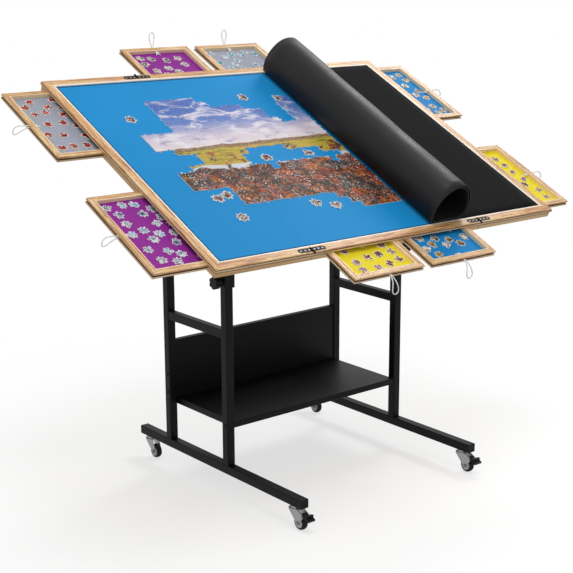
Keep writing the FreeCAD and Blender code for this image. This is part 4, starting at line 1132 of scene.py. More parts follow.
@dataclass
class PiecePress:
    """Presses outlines into card pieces that lie on a face.

    Attributes:
        height: thickness of the card, millimetres.
        gap: how far each piece is cut inside its outline, millimetres.
        worn: width of the pale rim of card on each printed top, a painted highlight along its cut edge.
        flange: how far the card of a joined part shows beyond its print.
        fold_gap: how far that card stays from the fold.
        card_share: its share of the thickness.
    """

    height: float = 2.0
    gap: float = 0.12
    worn: float = 1.3
    flange: float = 2.1
    fold_gap: float = 0.15
    card_share: float = 0.7

    def press(self, outlines: Sequence[Sequence[Vector]], rest: float, draw: random.Random) -> Work:
        """Makes closed pieces with printed tops and card sides.

        Args:
            outlines: the pieces' outlines, board millimetres.
            rest: height of the face that they lie on.
            draw: where each piece's tone comes from.

        Returns:
            A bmesh whose material 0 is the top and 1 the card.
        """
        work = flat_faces(outlines, rest)
        shade = work.faces.layers.float.new("piece_tone")
        for face in work.faces:
            face[shade] = draw.random()
        face_up(work)
        faces = list(work.faces)
        trimmed = bmesh.ops.inset_individual(work, faces=faces, thickness=self.gap, use_even_offset=True)
        bmesh.ops.delete(work, geom=trimmed["faces"], context="FACES")
        thicken(work, self.height)
        tops = [face for face in work.faces if face.normal.z > 0.9]
        for face in work.faces:
            face.material_index = 1
        # Painted highlight: a pale card rim round each printed top.
        if self.worn:
            bmesh.ops.inset_individual(work, faces=tops, thickness=self.worn, use_even_offset=True)
        for face in tops:
            face.material_index = 0
        return work

    def back(self, outlines: Sequence[Sequence[Vector]], rest: float, fold: float, hand: int) -> Work:
        """Makes the pale card under joined pieces, a little wider than their print.

        Args:
            outlines: the pieces' outlines, board millimetres.
            rest: height of the face that they lie on.
            fold: the fold line that it must not cross.
            hand: -1 for a part on the left of it, 1 on the right.

        Returns:
            The bmesh.
        """
        work = flat_faces(outlines, rest)
        bmesh.ops.remove_doubles(work, verts=work.verts, dist=0.02)
        face_up(work)
        faces = list(work.faces)
        bmesh.ops.inset_region(work, faces=faces, thickness=self.flange, use_outset=True, use_boundary=True)
        for vert in work.verts:
            vert.co.x = fold + hand * max(self.fold_gap, hand * (vert.co.x - fold))
        thicken(work, self.height * self.card_share)
        return work


def inside(point: Vector, polygon: Sequence[Spot]) -> bool:
    """Whether a point lies in a polygon.

    Args:
        point: the point.
        polygon: its corners in order.

    Returns:
        True if it is inside.
    """
    found = False
    for (x0, y0), (x1, y1) in zip(polygon, polygon[1:] + polygon[:1]):
        if (y0 > point.y) != (y1 > point.y) and point.x < x0 + (point.y - y0) * (x1 - x0) / (y1 - y0):
            found = not found
    return found


@dataclass
class Puzzle(SubAssembly):
    """The half-made puzzle on the board and the stray pieces beside it.

    Attributes:
        face: height of the playing face, millimetres.
        pitch: size of a piece.
        columns, rows: size of its grid.
        left_columns: how many of its columns lie on the left wing.
        front: from the board's front edge to the grid.
        made_up, missing: outlines of the made part and of the hole in it, from the board's front left corner.
        strays: places of the loose pieces, measured the same way.
    """

    face: float = -3.0
    pitch: float = 23.4
    columns: int = 22
    rows: int = 26
    left_columns: int = 6
    front: float = 128.0
    made_up: tuple[Spot, ...] = (
        (226, 643), (282, 639), (303, 641), (343, 639), (382, 623), (399, 594), (414, 587), (461, 586),
        (467, 570), (517, 563), (526, 562), (520, 535), (544, 518), (555, 496), (582, 496), (587, 540),
        (599, 594), (639, 640), (650, 667), (668, 667), (668, 128), (548, 125), (518, 143), (493, 178),
        (449, 205), (358, 208), (301, 208), (219, 205), (208, 247), (212, 263), (171, 271), (134, 265),
        (110, 265), (110, 348), (160, 348), (205, 355), (212, 386), (201, 412), (167, 409), (165, 419),
        (110, 430), (110, 491), (178, 501), (215, 515), (205, 541), (205, 596))
    missing: tuple[Spot, ...] = (
        (351, 412), (398, 413), (458, 413), (473, 391), (510, 388), (571, 397), (567, 356), (603, 356),
        (623, 340), (587, 324), (521, 332), (439, 328), (382, 326), (345, 332), (342, 364))
    strays: tuple[Spot, ...] = (
        (161, 231), (177, 156), (397, 168), (443, 150), (391, 361), (519, 361), (135, 571), (191, 241),
        (503, 627), (606, 612))

    def assemble(self, draw: random.Random, card: Material) -> None:
        """Makes the assembled part, split at the fold.

        Args:
            draw: where the pieces' tones come from.
            card: finish of the card.
        """
        board, split = self.board, self.left_columns
        corner = (-board.fold - split * self.pitch, self.front - board.half_width)
        cut = JigsawCut(corner, self.pitch, frozenset({0, split}), frozenset({0}))
        picture = ValleyPicture("valley_picture", board).build()
        to_corner = Vector((board.half_length, board.half_width))
        press = PiecePress(gap=0.06, worn=0.0)
        parts = (("left_wing", "puzzle_left", range(split), -1),
                 ("board", "puzzle_middle", range(split, self.columns), 1))
        for body, name, columns, hand in parts:
            outlines = []
            for spot in ((column, row) for column in columns for row in range(self.rows)):
                place = cut.middle(*spot) + to_corner
                if inside(place, self.made_up) and not inside(place, self.missing):
                    outlines.append(cut.outline(*spot))
            self.bench.lay(name, press.press(outlines, self.face, draw), body, (picture, card))
            self.bench.lay(name + "_card", press.back(outlines, self.face, -board.fold, hand), body, (card,))
            log.info("%s has %d pieces", name, len(outlines))

    def scatter(self, draw: random.Random, card: Material) -> None:
        """Lays the stray pieces round it.

        Args:
            draw: where the pieces' cuts, turns and tones come from.
            card: finish of the card.
        """
        board = self.board
        tops = SortedTops("loose_tops_board", TrayColour.BOARD).build()
        for body, name in (("left_wing", "stray_pieces_left"), ("board", "stray_pieces_middle")):
            outlines = [
                loose_outline(draw, x - board.half_length, y - board.half_width, self.pitch)
                for x, y in self.strays if (x < board.half_length - board.fold) == (body == "left_wing")]
            self.bench.lay(name, PiecePress().press(outlines, self.face, draw), body, (tops, card))

    def build(self) -> None:
        """Makes the assembled part and the stray pieces."""
        draw, card = random.Random(11), Card("card_edge").build()
        self.assemble(draw, card)
        self.scatter(draw, card)


# ------------------------------------------------------------------- trays


@dataclass(frozen=True)
class Tray:
    """One sliding tray, as it stands open.

    Attributes:
        name: its CAD name, without "_drawer".
        colour: its lining.
        outward: unit direction that it opens in.
        across: where its sides are, across the pull.
        face: where its bay's mouth is, from the board's middle.
        opening: how far it stands open.
        depth: its size along the pull.
        rim: width of its rim.
        lip, floor: heights of its top and of its cavity's floor.
    """

    name: str
    colour: TrayColour
    outward: tuple[int, int]
    across: Spot
    face: float
    opening: float
    depth: float
    rim: float = 15.0
    lip: float = -8.3
    floor: float = -17.7

    @property
    def along_x(self) -> bool:
        """Whether it slides along X."""
        return self.outward[0] != 0

    def ordered(self, pulled: float, crosswise: float) -> Spot:
        """A measure along the pull and one across it, as X and Y."""
        return (pulled, crosswise) if self.along_x else (crosswise, pulled)

    @property
    def centre(self) -> Spot:
        """Its middle, board millimetres."""
        pulled = (self.face + self.opening - self.depth / 2) * sum(self.outward)
        return self.ordered(pulled, sum(self.across) / 2)

    @property
    def half(self) -> Spot:
        """Its half sizes along X and Y."""
        return self.ordered(self.depth / 2, (self.across[1] - self.across[0]) / 2)

    @property
    def mouth(self) -> Vector:
        """Where the cord leaves the tray's front.

        Returns:
            A board point in millimetres.
        """
        (x, y), (half_x, half_y) = self.centre, self.half
        height = (self.lip + self.floor) / 2
        return Vector((x + self.outward[0] * half_x, y + self.outward[1] * half_y, height))


TRAYS = (
    Tray("left_front", TrayColour.PURPLE, (-1, 0), (-352.5, -77.5), 522, 134, 245),
    Tray("left_back", TrayColour.GREY, (-1, 0), (77.5, 352.5), 522, 118, 245),
    Tray("right_front", TrayColour.YELLOW, (1, 0), (-352.5, -77.5), 522, 100, 245),
    Tray("right_back", TrayColour.BLUE, (1, 0), (77.5, 352.5), 522, 110, 245),
    Tray("front_left", TrayColour.YELLOW, (0, -1), (-221, -13), 379.5, 102, 340),
    Tray("front_right", TrayColour.BLUE, (0, -1), (13, 221), 379.5, 102, 340),
    Tray("back_left", TrayColour.PLUM, (0, 1), (-221, -13), 379.5, 145, 340),
    Tray("back_right", TrayColour.SLATE, (0, 1), (13, 221), 379.5, 143, 340),
)


@dataclass
class TrayFittings(SubAssembly):
    """Wood, linings and sorted pieces of the trays.

    Attributes:
        groove: top, bottom and depth of the groove in a tray's outer edge, where shade is painted.
        inner_highlight: how far inside the rim the painted pale highlight begins.
        lining: thickness of a lining.
        corner: how far its corners are cut back.
        spacing: least distance between two loose pieces.
        margin: least distance of a piece's middle from the rim.
        pitch: size of a loose piece.
        tries: how many places are tried in each tray.
    """

    groove: Triple = (-12.55, -16.45, 3.45)
    inner_highlight: float = 3.0
    lining: float = 0.4
    corner: float = 2.9
    spacing: float = 27.5
    margin: float = 15.0
    pitch: float = 18.6
    tries: int = 260

    def line(self, tray: Tray) -> None:
        """Lays the coloured lining on a tray's floor.

        Args:
            tray: the tray.
        """
        work = bmesh.new()
        bmesh.ops.create_grid(work, x_segments=1, y_segments=1, size=1.0)
        bmesh.ops.scale(work, verts=work.verts, vec=(tray.half[0] - tray.rim, tray.half[1] - tray.rim, 1))
        bmesh.ops.bevel(work, geom=list(work.verts), offset=self.corner, segments=4, profile=0.5,
                        affect="VERTICES", material=-1)
        thicken(work, self.lining)
        bmesh.ops.translate(work, verts=work.verts, vec=(*tray.centre, tray.floor))
        coat = FacedSheet("lining_" + tray.name, tray.colour.lining, 0.6, 0.04).build()
        self.bench.lay(tray.name + "_lining", work, tray.name + "_drawer", (coat,))

    def sort(self, tray: Tray, tops: Material, card: Material) -> None:
        """Scatters pieces over a tray.

        Args:
            tray: the tray.
            tops, card: finishes of the pieces.
        """
        draw = random.Random("pieces of " + tray.name)
        room = [half - tray.rim - self.margin for half in tray.half]
        places: list[Vector] = []
        for _ in range(self.tries):
            spot = Vector([middle + draw.uniform(-1, 1) * reach for middle, reach in zip(tray.centre, room)])
            if all((spot - other).length > self.spacing for other in places):
                places.append(spot)
        outlines = [loose_outline(draw, spot.x, spot.y, self.pitch) for spot in places]
        work = PiecePress(worn=0.85).press(outlines, tray.floor + self.lining, draw)
        self.bench.lay(tray.name + "_pieces", work, tray.name + "_drawer", (tops, card))

    def build(self) -> None:
        """Dresses, lines and fills every tray."""
        card = Card("tray_card_edge").build()
        colours = [colour for colour in TrayColour if colour is not TrayColour.BOARD]
        tops = {colour: SortedTops("loose_tops_" + colour.name.lower(), colour).build() for colour in colours}
        for tray in TRAYS:
            # Tray wood: painted shade in the groove, and a painted pale highlight on the inner edge and inner
            # wall.
            wood = Pine(
                "tray_pine_" + tray.name, self.board, tray.centre, tray.half, self.groove,
                tint(243, 206, 148), tint(220, 168, 106), tray.rim + self.inner_highlight, tint(255, 230, 188))
            self.bench.dress(wood.build(), tray.name + "_drawer")
            self.line(tray)
            self.sort(tray, tops[tray.colour], card)


# ------------------------------------------------------------------- cords


@dataclass
class PullCords(SubAssembly):
    """The loops of cord on the tray fronts, each tied in a knot inside.

    Attributes:
        routes: half a loop of each row of trays, as distance out, drop and half width, millimetres.
        turns, tail: lines of a knot and of an end, as distance in, half width and drop.
        length: of each cord.
        strand_half: half the distance between the strands in the hole.
        radius: half the cord's thickness.
        rim, knot_gap: the tray's rim and the knot's distance behind it.
    """

    routes: dict[str, tuple[Triple, ...]] = field(default_factory=lambda: {
        "side": ((2.0, 0.2, 1.5), (16.5, 1.7, 5.0), (26.0, 4.2, 7.8), (35.0, 7.8, 8.0), (40.0, 10.0, 3.9)),
        "front": ((2.5, 0.3, 1.5), (14.5, 6.5, 4.4), (18.8, 17.5, 8.2), (18.6, 28.0, 9.2), (18.2, 34.0, 3.9)),
        "back": ((2.0, 0.0, 1.5), (6.5, -4.5, 2.4), (7.6, -17.0, 6.2), (7.8, -28.5, 8.8), (7.4, -39.5, 3.9))})
    turns: tuple[Triple, ...] = (
        (1.3, -2.2, -1.4), (1.5, 2.7, -1.8), (4.0, 3.1, 1.5), (6.4, -0.6, 2.4), (6.6, -3.2, -0.6),
        (4.2, -2.1, -2.6), (2.2, 2.0, -2.2), (2.8, 2.2, 2.1), (4.8, -1.4, 2.4), (3.0, -3.2, 1.4))
    tail: tuple[Triple, ...] = ((4.0, 1.0, 0.0), (8.0, 3.4, 1.2), (10.5, 6.2, 2.9))
    length: float = 130.0
    strand_half: float = 1.5
    radius: float = 1.3
    rim: float = 15.0
    knot_gap: float = 0.3

    def strand(self, name: str, body: str, coat: Material, points: Sequence[Vector]) -> Thing:
        """A round piece of cord on a smooth line.

        Args:
            name: the piece's name; a knot's line is closed.
            body: what it rides on.
            coat: the cord's finish.
            points: control points, board millimetres.

        Returns:
            The piece.
        """
        placed = [self.board.at(*point) for point in points]
        curve = smooth_curve(name, placed, 8, name.endswith("knot"))
        curve.bevel_depth, curve.bevel_resolution, curve.use_fill_caps = self.radius * MM, 4, True
        return self.bench.put(name, curve, body, (coat,), "cord_white")

    def tie(self, tray: Tray, coat: Material) -> None:
        """Makes the loop and the knot of one tray.

        Args:
            tray: the tray.
            coat: the cord's finish.
        """
        tilt = self.board.tilt
        pull = Vector((*tray.outward, 0.0))
        down = Vector((0.0, -math.sin(tilt), -math.cos(tilt)))
        flat = pull.cross(down).normalized()
        sideways = down if tray.along_x else flat
        row = "side" if tray.along_x else tray.name.split("_")[0]
        half_loop = [(-(self.rim + self.knot_gap), 0.0, self.strand_half), *self.routes[row]]
        other_half = [(out, drop, -wide) for out, drop, wide in reversed(half_loop)]
        points = [tray.mouth + pull * out + down * drop + sideways * wide
                  for out, drop, wide in half_loop + other_half]
        start = tray.mouth - pull * (self.rim + self.knot_gap)
        body, name = tray.name + "_drawer", tray.name + "_pull"
        loop = self.strand(name + "_cord", body, coat, points)
        ends = (("knot", 1, self.turns), ("tail_left", -1, self.tail), ("tail_right", 1, self.tail))
        for end, hand, line in ends:
            points = [start - pull * inward + flat * hand * wide + down * drop for inward, wide, drop in line]
            self.strand(f"{name}_{end}", body, coat, points)
        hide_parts(name)
        self.board.at(*(start + sideways * self.strand_half))
        2 * self.radius * MM

    def build(self) -> None:
        """Ties every tray's cord."""
        coat = CottonCord("cotton_cord").build()
        for tray in TRAYS:
            self.tie(tray, coat)


# --------------------------------------------------------------------- mat


def part_of(value: float) -> float:
    """A value held between 0 and 1."""
    return max(0.0, min(1.0, value))


@dataclass
class CoverMat(SubAssembly):
    """The felt cover mat: two turns rolled up on the middle, the rest flat on the right wing.

    Attributes:
        thickness: the felt and its backing.
        half_width: half its size along Y.
        rows: how many strips it is drawn in along Y.
        skew: how far the roll's ends lie off square.
        straight: from the right end, how far the skew takes to grow.
        flat_share, flat_at: share of its points on the board's face, and a place there along X.
        rise: height where the roll begins to wander, and how much higher it does so fully.
        wander: how far it wanders along X and Z.
        section: control points of its middle line, from the right end to the roll's inner end, as X and Z.
    """

    thickness: float = 2.5
    half_width: float = 356.5
    rows: int = 30
    skew: float = 6.0
    straight: float = 300.0
    flat_share: float = 0.2
    flat_at: float = 450.0
    rise: Spot = (6.0, 60.0)
    wander: Spot = (2.2, 1.3)
    section: tuple[Spot, ...] = (
        (498, -1.75), (440, -1.75), (380, -1.75), (320, -1.75), (260, -1.75), (200, -1.75), (150, -1.75),
        (131, -1.6), (118, 4), (113.5, 20), (113.5, 38), (118, 56), (126.5, 72), (139, 86.5), (156, 96.5),
        (175, 99.5), (193, 96.5), (208.5, 86), (220, 70), (229, 50), (232, 30), (228, 11), (214, 2.2),
        (195, 1.3), (165, 1.2), (138, 1.3), (123, 7), (118, 21), (118, 38), (122.5, 54.5), (131, 70),
        (143.5, 83), (159, 91.5), (175, 94.5), (190.5, 91.5), (204, 82), (214.5, 67), (223.5, 48),
        (226.5, 30.5), (222.5, 15), (210, 7), (190, 5), (165, 4.8), (145, 5))

    def profile(self) -> list[Vector]:
        """Reads the section off its smooth line.

        Returns:
            Points of the middle line, board millimetres.
        """
        curve = smooth_curve("mat_section", [(x, 0, z) for x, z in self.section], 5)
        holder = bpy.data.objects.new("mat_section", curve)
        mesh = bpy.data.meshes.new_from_object(holder)
        points = [vert.co.copy() for vert in mesh.vertices]
        bpy.data.objects.remove(holder)
        bpy.data.meshes.remove(mesh)
        return points

    def pull_out(self, points: Sequence[Vector], travelled: Sequence[float]) -> Work:
        """Draws the section along the mat's width and maps it flat.

        Args:
            points: of the middle line.
            travelled: length of the line up to each of them.

        Returns:
            The bmesh, felt side out.
        """
        work = bmesh.new()
        chain = [work.verts.new(point - Vector((0, self.half_width, 0))) for point in points]
        edges = [work.edges.new(pair) for pair in zip(chain, chain[1:])]
        for _ in range(self.rows):
            drawn = bmesh.ops.extrude_edge_only(work, edges=edges)["geom"]
            edges = [part for part in drawn if isinstance(part, bmesh.types.BMEdge)]
            bmesh.ops.translate(work, verts=corners_in(drawn), vec=(0, 2 * self.half_width / self.rows, 0))
        bmesh.ops.recalc_face_normals(work, faces=list(work.faces))
        flat_face = min(work.faces, key=lambda face: abs(face.calc_center_median().x - self.flat_at))
        if flat_face.normal.z < 0:
            bmesh.ops.reverse_faces(work, faces=list(work.faces))
        cloth = work.loops.layers.uv.new("Cloth")
        work.verts.index_update()
        for corner in (corner for face in work.faces for corner in face.loops):
            corner[cloth].uv = (travelled[corner.vert.index % len(points)] * MM, corner.vert.co.y * MM)
        return work

    def settle(self, work: Work, count: int) -> None:
        """Lets the roll lie a little askew and uneven.

        Args:
            work: the mat.
            count: how many points its section has.
        """
        for vert in work.verts:
            share = vert.co.y / self.half_width
            on_face = vert.index % count < count * self.flat_share
            hold = part_of((self.section[0][0] - vert.co.x) / self.straight) ** 2 if on_face else 1.0
            lift = part_of((vert.co.z - self.rise[0]) / self.rise[1])
            sway = noise.noise(Vector((share * 2.2, vert.co.z * 0.006, 3.1)))
            vert.co.x += self.skew * share * hold + self.wander[0] * sway * lift
            vert.co.z += self.wander[1] * noise.noise(Vector((share * 2.7, 8.4, 0.5))) * lift

    def build(self) -> None:
        """Makes the mat and gives it its two sides."""
        board, points, travelled = self.board, self.profile(), [0.0]
        for start, end in zip(points, points[1:]):
            travelled.append(travelled[-1] + (end - start).length)
        length = travelled[-1]
        work = self.pull_out(points, travelled)
        self.settle(work, len(points))
        edge = Enamel("mat_cut_edge", tint(58, 58, 60), 0.8)
        coats = (Felt("mat_felt_top"), RubberBacking("mat_backing"), edge)
        mesh = self.bench.shape("cover_mat", work, board.place, 60)
        mat = self.bench.put("cover_mat", mesh, "", [coat.build() for coat in coats], "mat_felt")
        thick = mat.modifiers.new("Thickness", "SOLIDIFY")
        thick.thickness, thick.offset, thick.use_even_offset = self.thickness * MM, 0.0, True
        thick.material_offset, thick.material_offset_rim = 1, 2
        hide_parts("cover_mat_roll", "cover_mat_flat")
        board.at(board.fold - 5, 0, 0)
        board.at(board.fold + 5, 0, 0)
        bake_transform(mat)
        2 * self.half_width * MM
        length * MM
        log.info("the mat is %.0f mm long", length)


# ---------------------------------------------------------------- hardware


@dataclass
class HingeScrews(SubAssembly):
    """Countersunk screws in the board's hinge leaves, three to a leaf, and the hinges' knuckles.

    Attributes:
        rows: middles of the hinges along Y.
        places: screws from the fold line.
        radius, head_height, head_middle: of the heads.
        taper, rim, waist: shares of their radius at the top, in the rim and between the recess's arms.
        recess: depth of the cross.
        knuckle_radius, knuckle_length: of the knuckle in the middle of each hinge.
        knuckle_out, knuckle_up: how far out it begins and how high it lies.
        rounding: of its ends.
    """

    rows: Spot = (-371.5, 371.5)
    places: Triple = (7.5, 18.5, 30.5)
    radius: float = 2.1
    head_height: float = 0.7
    head_middle: float = 0.1
    taper: float = 0.82
    rim: float = 0.22
    waist: float = 0.34
    recess: float = 0.45
    knuckle_radius: float = 2.4
    knuckle_length: float = 11.0
    knuckle_out: float = 1.5
    knuckle_up: float = 0.4
    rounding: float = 0.5

    def head(self, work: Work, x: float, y: float, turn: float) -> None:
        """Adds one head with a cross recess.

        Args:
            work: the bmesh that gets it.
            x, y: its place on the board.
            turn: of its recess, radians.
        """
        head, top = turned(16, self.radius, self.radius * self.taper, self.head_height)
        bmesh.ops.inset_individual(head, faces=[top], thickness=self.radius * self.rim)
        ring = sorted(top.verts, key=lambda vert: math.atan2(vert.co.y, vert.co.x))
        between = [vert for index, vert in enumerate(ring) if index % 4]
        bmesh.ops.scale(head, verts=between, vec=(self.waist, self.waist, 1))
        pushed = bmesh.ops.extrude_discrete_faces(head, faces=[top])["faces"]
        bmesh.ops.translate(head, verts=list(pushed[0].verts), vec=(0, 0, -self.recess))
        add_part(work, head, Matrix.Translation((x, y, self.head_middle)) @ Matrix.Rotation(turn, 4, "Z"))

    def knuckle(self, work: Work, x: float, y: float) -> None:
        """Adds a hinge's knuckle, which reaches over the rail's outer edge.

        Args:
            work: the bmesh that gets it.
            x, y: middle of the hinge.
        """
        pin, _ = turned(20, self.knuckle_radius, self.knuckle_radius, self.knuckle_length)
        ends = [edge for edge in pin.edges if abs(edge.verts[0].co.z - edge.verts[1].co.z) < 1e-6]
        bmesh.ops.bevel(pin, geom=ends, offset=self.rounding, segments=2, profile=0.5, affect="EDGES",
                        material=-1)
        for face in pin.faces:
            face.material_index = 1
        middle = (x, y + math.copysign(self.knuckle_length / 2 + self.knuckle_out, y), self.knuckle_up)
        add_part(work, pin, Matrix.Translation(middle) @ Matrix.Rotation(math.pi / 2, 4, "X"))

    def build(self) -> None:
        """Screws the leaves to the middle and to both wings."""
        coats = (Plated("bright_screws", tint(176, 170, 162), 0.4).build(),
                 Enamel("hinge_knuckles", tint(20, 15, 12), 0.44).build())
        draw, fold = random.Random(5), self.board.fold
        groups = {"board": [hand * (fold - place) for hand in (-1, 1) for place in self.places],
                  "left_wing": [-(fold + place) for place in self.places],
                  "right_wing": [fold + place for place in self.places]}
        for body, spots in groups.items():
            work = bmesh.new()
            for x in spots:
                for y in self.rows:
                    self.head(work, x, y, draw.uniform(0, 1.5))
            if body == "board":
                for x in (-fold, fold):
                    for y in self.rows:
                        self.knuckle(work, x, y)
            self.bench.lay(body + "_hinge_screws", work, body, coats, "fixings")


@dataclass
class CasterWheels(SubAssembly):
    """Spun wheels: a rubber tyre on a two-shouldered hub, and the nuts of its axle.

    Attributes:
        radius, half: of the wheel, millimetres.
        hub_radius, hub_half: of the hub.
        steps: how many steps a full turn is spun in.
        fork_face: outer faces of the fork's legs, from the wheel's middle.
        nut_radius, nut_height: of the axle nuts, over their corners.
        nut_dome, nut_slope: how far they are domed up and in.
    """

    radius: float = 18.0
    half: float = 7.0
    hub_radius: float = 12.5
    hub_half: float = 8.3
    steps: int = 56
    fork_face: float = 10.1
    nut_radius: float = 4.6
    nut_height: float = 2.2
    nut_dome: float = 0.9
    nut_slope: float = 1.656

    def spun(self, outline: Sequence[Spot]) -> Work:
        """Spins a closed outline about the axle.

        Args:
            outline: points as distance along the axle and radius, millimetres.

        Returns:
            The bmesh.
        """
        work = bmesh.new()
        chain = [work.verts.new((x, 0, radius)) for x, radius in outline]
        loop = [work.edges.new(pair) for pair in zip(chain, chain[1:] + chain[:1])]
        bmesh.ops.spin(work, geom=chain + loop, cent=(0, 0, 0), axis=(1, 0, 0), angle=2 * math.pi,
                       steps=self.steps, use_merge=True)
        bmesh.ops.remove_doubles(work, verts=work.verts, dist=0.001)
        bmesh.ops.recalc_face_normals(work, faces=list(work.faces))
        return work

    def nuts(self) -> Work:
        """Makes the domed hexagon nuts at both ends of an axle.

        Returns:
            The bmesh.
        """
        work = bmesh.new()
        for hand in (-1, 1):
            nut, outer = turned(6, self.nut_radius, self.nut_radius * 0.94, self.nut_height)
            bmesh.ops.inset_individual(nut, faces=[outer], thickness=self.nut_slope)
            bmesh.ops.translate(nut, verts=list(outer.verts), vec=(0, 0, self.nut_dome))
            place = Matrix.Translation((hand * (self.fork_face + self.nut_height / 2), 0, 0))
            add_part(work, nut, place @ Matrix.Rotation(hand * math.pi / 2, 4, "Y"))
        return work

    @staticmethod
    def mirrored(outline: Sequence[Spot]) -> list[Spot]:
        """The other half of an outline, going on from its end."""
        return [(-x, radius) for x, radius in reversed(outline)]

    def fit(self, name: str, work: Work, place: Matrix, body: str, coat: Material, slot: str,
            soft: float = 40.0) -> Thing:
        """Makes a piece of a bmesh that is in millimetres from the middle of its wheel."""
        return self.bench.put(name, self.bench.shape(name, work, place, soft), body, (coat,), slot)

    def build(self) -> None:
        """Makes the four wheels and the nuts of their axles."""
        rubber = Enamel("tyre_rubber", tint(36, 36, 37), 0.62, 700, 0.0002).build()
        plastic = FacedSheet("hub_plastic", tint(238, 238, 238), 0.4, 0.04).build()
        zinc = Plated("axle_nut", tint(120, 121, 124), 0.3).build()
        r, h, hub_r = self.radius, self.half, self.hub_radius
        shoulder = [(-h, hub_r), (-h, r - 3.2), (-h * 0.86, r - 1.2), (-h * 0.5, r - 0.15)]
        side = [(-h, hub_r), (-h + 0.5, hub_r - 1.1), (-h + 1.9, hub_r - 1.8), (-h + 2.1, 7.2),
                (-h + 0.6, 6.2), (-h + 0.3, 4.9), (-self.hub_half, 4.4), (-self.hub_half, 2.6)]
        tread, hub = shoulder + [(0, r)] + self.mirrored(shoulder), side + self.mirrored(side)
        for name in (f"{end}_{hand}" for end in ("front", "back") for hand in ("left", "right")):
            low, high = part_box(name + "_caster_wheel")
            place, wheel = Matrix.Translation((low + high) / 2) @ Matrix.Scale(MM, 4), name + "_wheel"
            self.fit(name + "_tyre", self.spun(tread), place, wheel, rubber, "wheel")
            disc = self.fit(name + "_hub", self.spun(hub), place, wheel, plastic, "wheel")
            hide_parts(name + "_caster_wheel")
            self.fit(name + "_axle_nuts", self.nuts(), place, name + "_fork", zinc, "zinc", 30)


# ------------------------------------------------------------------ finish


@dataclass
class Dressing(SubAssembly):
    """Finishes of the CAD nodes that stay as they are.

    Attributes:
        sections: the board's sections, whose nodes begin with these names.
    """

    sections: tuple[str, ...] = ("centre", "left_wing", "right_wing")

    def build(self) -> None:
        """Dresses the board, the lift frame and the stand."""
        board = self.board
        # The blue facing gets a painted shadow of the rails along its rim.
        blue = FacedSheet("board_blue", TrayColour.BOARD.lining, 0.6, 0.03, (499.0, 356.5, board))
        for ending, finish in (
                ("_rails", Pine("rail_pine", board)), ("_panel", blue), ("_casing", Ply("casing_ply", board)),
                ("_hinge_leaves", Enamel("hinge_black", tint(24, 18, 15), 0.5))):
            self.bench.dress(finish.build(), *(name + ending for name in self.sections))
        self.bench.dress(
            Enamel("powder_black").build(), "left_foot", "right_foot", "main_posts", "rear_posts",
            "crossbars", "lift_posts", "top_rails", "rear_tie", "tilt_quadrants")
        self.bench.dress(
            Enamel("moulded_black", tint(15, 15, 16), 0.46, 1500, 0.00008).build(), "foot_end_caps",
            "post_collars", "left_height_knob", "right_height_knob", "left_tilt_knob", "right_tilt_knob",
            "front_left_brake_pedal", "front_right_brake_pedal")
        self.bench.dress(BlackLaminate("shelf_laminate").build(), "shelf", "back_panel")
        steel = Enamel("fixing_black", tint(16, 16, 17), 0.45)
        self.bench.dress(steel.build(), "panel_screws", "tilt_pivot_bolts")
        self.bench.dress(
            Plated("fork_zinc", tint(158, 160, 163), 0.34).build(), "caster_stems", "front_left_caster_fork",
            "front_right_caster_fork", "back_left_caster_fork", "back_right_caster_fork")


# ------------------------------------------------------------------ studio


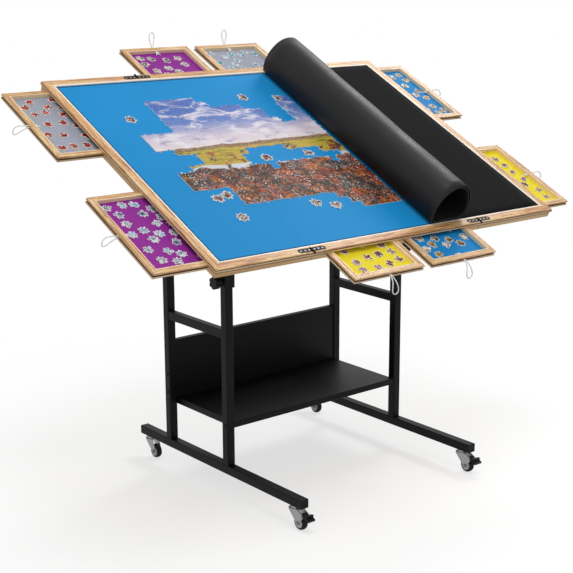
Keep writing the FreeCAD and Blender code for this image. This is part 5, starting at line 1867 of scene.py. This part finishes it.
@dataclass
class Studio:
    """Camera, pale floor and plain soft light.

    Attributes:
        lens, azimuth, elevation, roll: of the camera; angles in degrees.
        eye: its place, metres.
        sky: strength of the surrounding light.
        glow: how much the floor helps the light that falls on it.
        fading: from the middle of the floor, where its shadows begin to fade and where they end.
        floor_radius: of the floor, metres.
        sensor: width of the camera's sensor, millimetres.
        aim: height that the lamps look at.
        lamps: for each lamp its place, size and power.
    """

    lens: float = 82.07
    azimuth: float = -39.3
    elevation: float = 13.83
    roll: float = -0.19
    eye: Triple = (-2.033, -2.45087, 1.248)
    sky: float = 0.42
    glow: float = 0.62
    fading: Spot = (0.6, 1.5)
    floor_radius: float = 9.0
    sensor: float = 36.0
    aim: float = 0.6
    lamps: tuple[tuple[Triple, float, float], ...] = (
        ((-0.4, -1.0, 3.8), 1.8, 38.0), ((-2.4, -3.0, 1.8), 2.2, 13.0), ((2.3, 0.9, 3.0), 1.2, 34.0))

    def camera(self) -> None:
        """Sets the camera from its angles."""
        turn, rise, roll = (math.radians(angle) for angle in (self.azimuth, self.elevation, self.roll))
        back = Vector((math.sin(turn) * math.cos(rise), -math.cos(turn) * math.cos(rise), math.sin(rise)))
        level = Vector((math.cos(turn), math.sin(turn), 0))
        upright = back.cross(level)
        right = level * math.cos(roll) + upright * math.sin(roll)
        up = upright * math.cos(roll) - level * math.sin(roll)
        lens = bpy.data.cameras.new("camera")
        lens.lens, lens.sensor_width = self.lens, self.sensor
        camera = in_scene("camera", lens)
        camera.matrix_world = Matrix.Translation(self.eye) @ Matrix((right, up, back)).transposed().to_4x4()
        bpy.context.scene.camera = camera

    def light(self) -> None:
        """Lights the studio from above and all round."""
        bpy.context.scene.world = bpy.data.worlds.new("studio")
        world = Shader(bpy.context.scene.world)
        background = world.nodes["Background"].inputs
        world.feed(background["Color"], (1, 1, 1, 1))
        world.feed(background["Strength"], world.add("Mix", {0: world.seen(), 2: self.sky, 3: 1.0}))
        for index, (place, size, power) in enumerate(self.lamps):
            lamp = bpy.data.lights.new(f"lamp_{index}", "AREA")
            lamp.shape, lamp.size, lamp.energy = "DISK", size, power
            turn = (Vector(place) - Vector((0, 0, self.aim))).to_track_quat("Z", "Y").to_matrix().to_4x4()
            in_scene(lamp.name, lamp).matrix_world = Matrix.Translation(place) @ turn

    def floor(self) -> None:
        """Lays the floor, pale where nothing shades it."""
        work, mesh = bmesh.new(), bpy.data.meshes.new("floor")
        bmesh.ops.create_circle(work, cap_ends=True, segments=64, radius=self.floor_radius)
        work.to_mesh(mesh)
        work.free()
        shader = Shader(bpy.data.materials.new("floor"))
        x, y, _ = shader.object_point().axes()
        far = (x * x + y * y).sum("SQRT").step(*self.fading)
        shader.finish(Base_Color=(0.5, 0.5, 0.5, 1), Roughness=0.9, Specular_IOR_Level=0.0)
        plain = Signal(shader, shader.nodes["Principled BSDF"].outputs[0])
        white, glow = (shader.add("Emission", {"Color": (1, 1, 1, 1), "Strength": strength})
                       for strength in (1.0, self.glow))
        lit = shader.add("AddShader", {0: plain, 1: glow})
        pale = shader.add("MixShader", {0: far, 1: lit, 2: white})
        whole = shader.add("MixShader", {0: shader.seen(), 1: plain, 2: pale})
        shader.feed(shader.nodes["Material Output"].inputs["Surface"], whole)
        mesh.materials.append(shader.owner)
        in_scene("floor", mesh)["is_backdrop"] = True

    def build(self) -> None:
        """Sets up the camera, the lights and the floor."""
        self.camera()
        self.light()
        self.floor()
        bpy.context.scene.view_settings.view_transform = "Standard"


def write_sizes(visual: object) -> None:
    """Takes the visual model's bounds and writes nothing.

    Args:
        visual: the visual model's bounds; not used.
    """

    def plain(bounds: object) -> list[list[float]]:
        """Bounds as lists of numbers."""
        return [[float(value) for value in corner] for corner in bounds]


def main() -> None:
    """Loads the frame, sets the studio and builds every sub-assembly in order."""
    logging.basicConfig(level=logging.INFO, format="%(name)s: %(message)s")
    for collection in (bpy.data.objects, bpy.data.lights, bpy.data.cameras):
        for item in list(collection):
            collection.remove(item)
    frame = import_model()
    bench = Bench(frame, BoardFrame.from_joints(frame["joints"]))
    Studio().build()
    PullCords(bench).build()
    Dressing(bench).build()
    TrayFittings(bench).build()
    Puzzle(bench).build()
    CoverMat(bench).build()
    HingeScrews(bench).build()
    CasterWheels(bench).build()
    write_sizes(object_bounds())
    log.info("%d pieces made", bench.made)


if __name__ == "__main__":
    main()
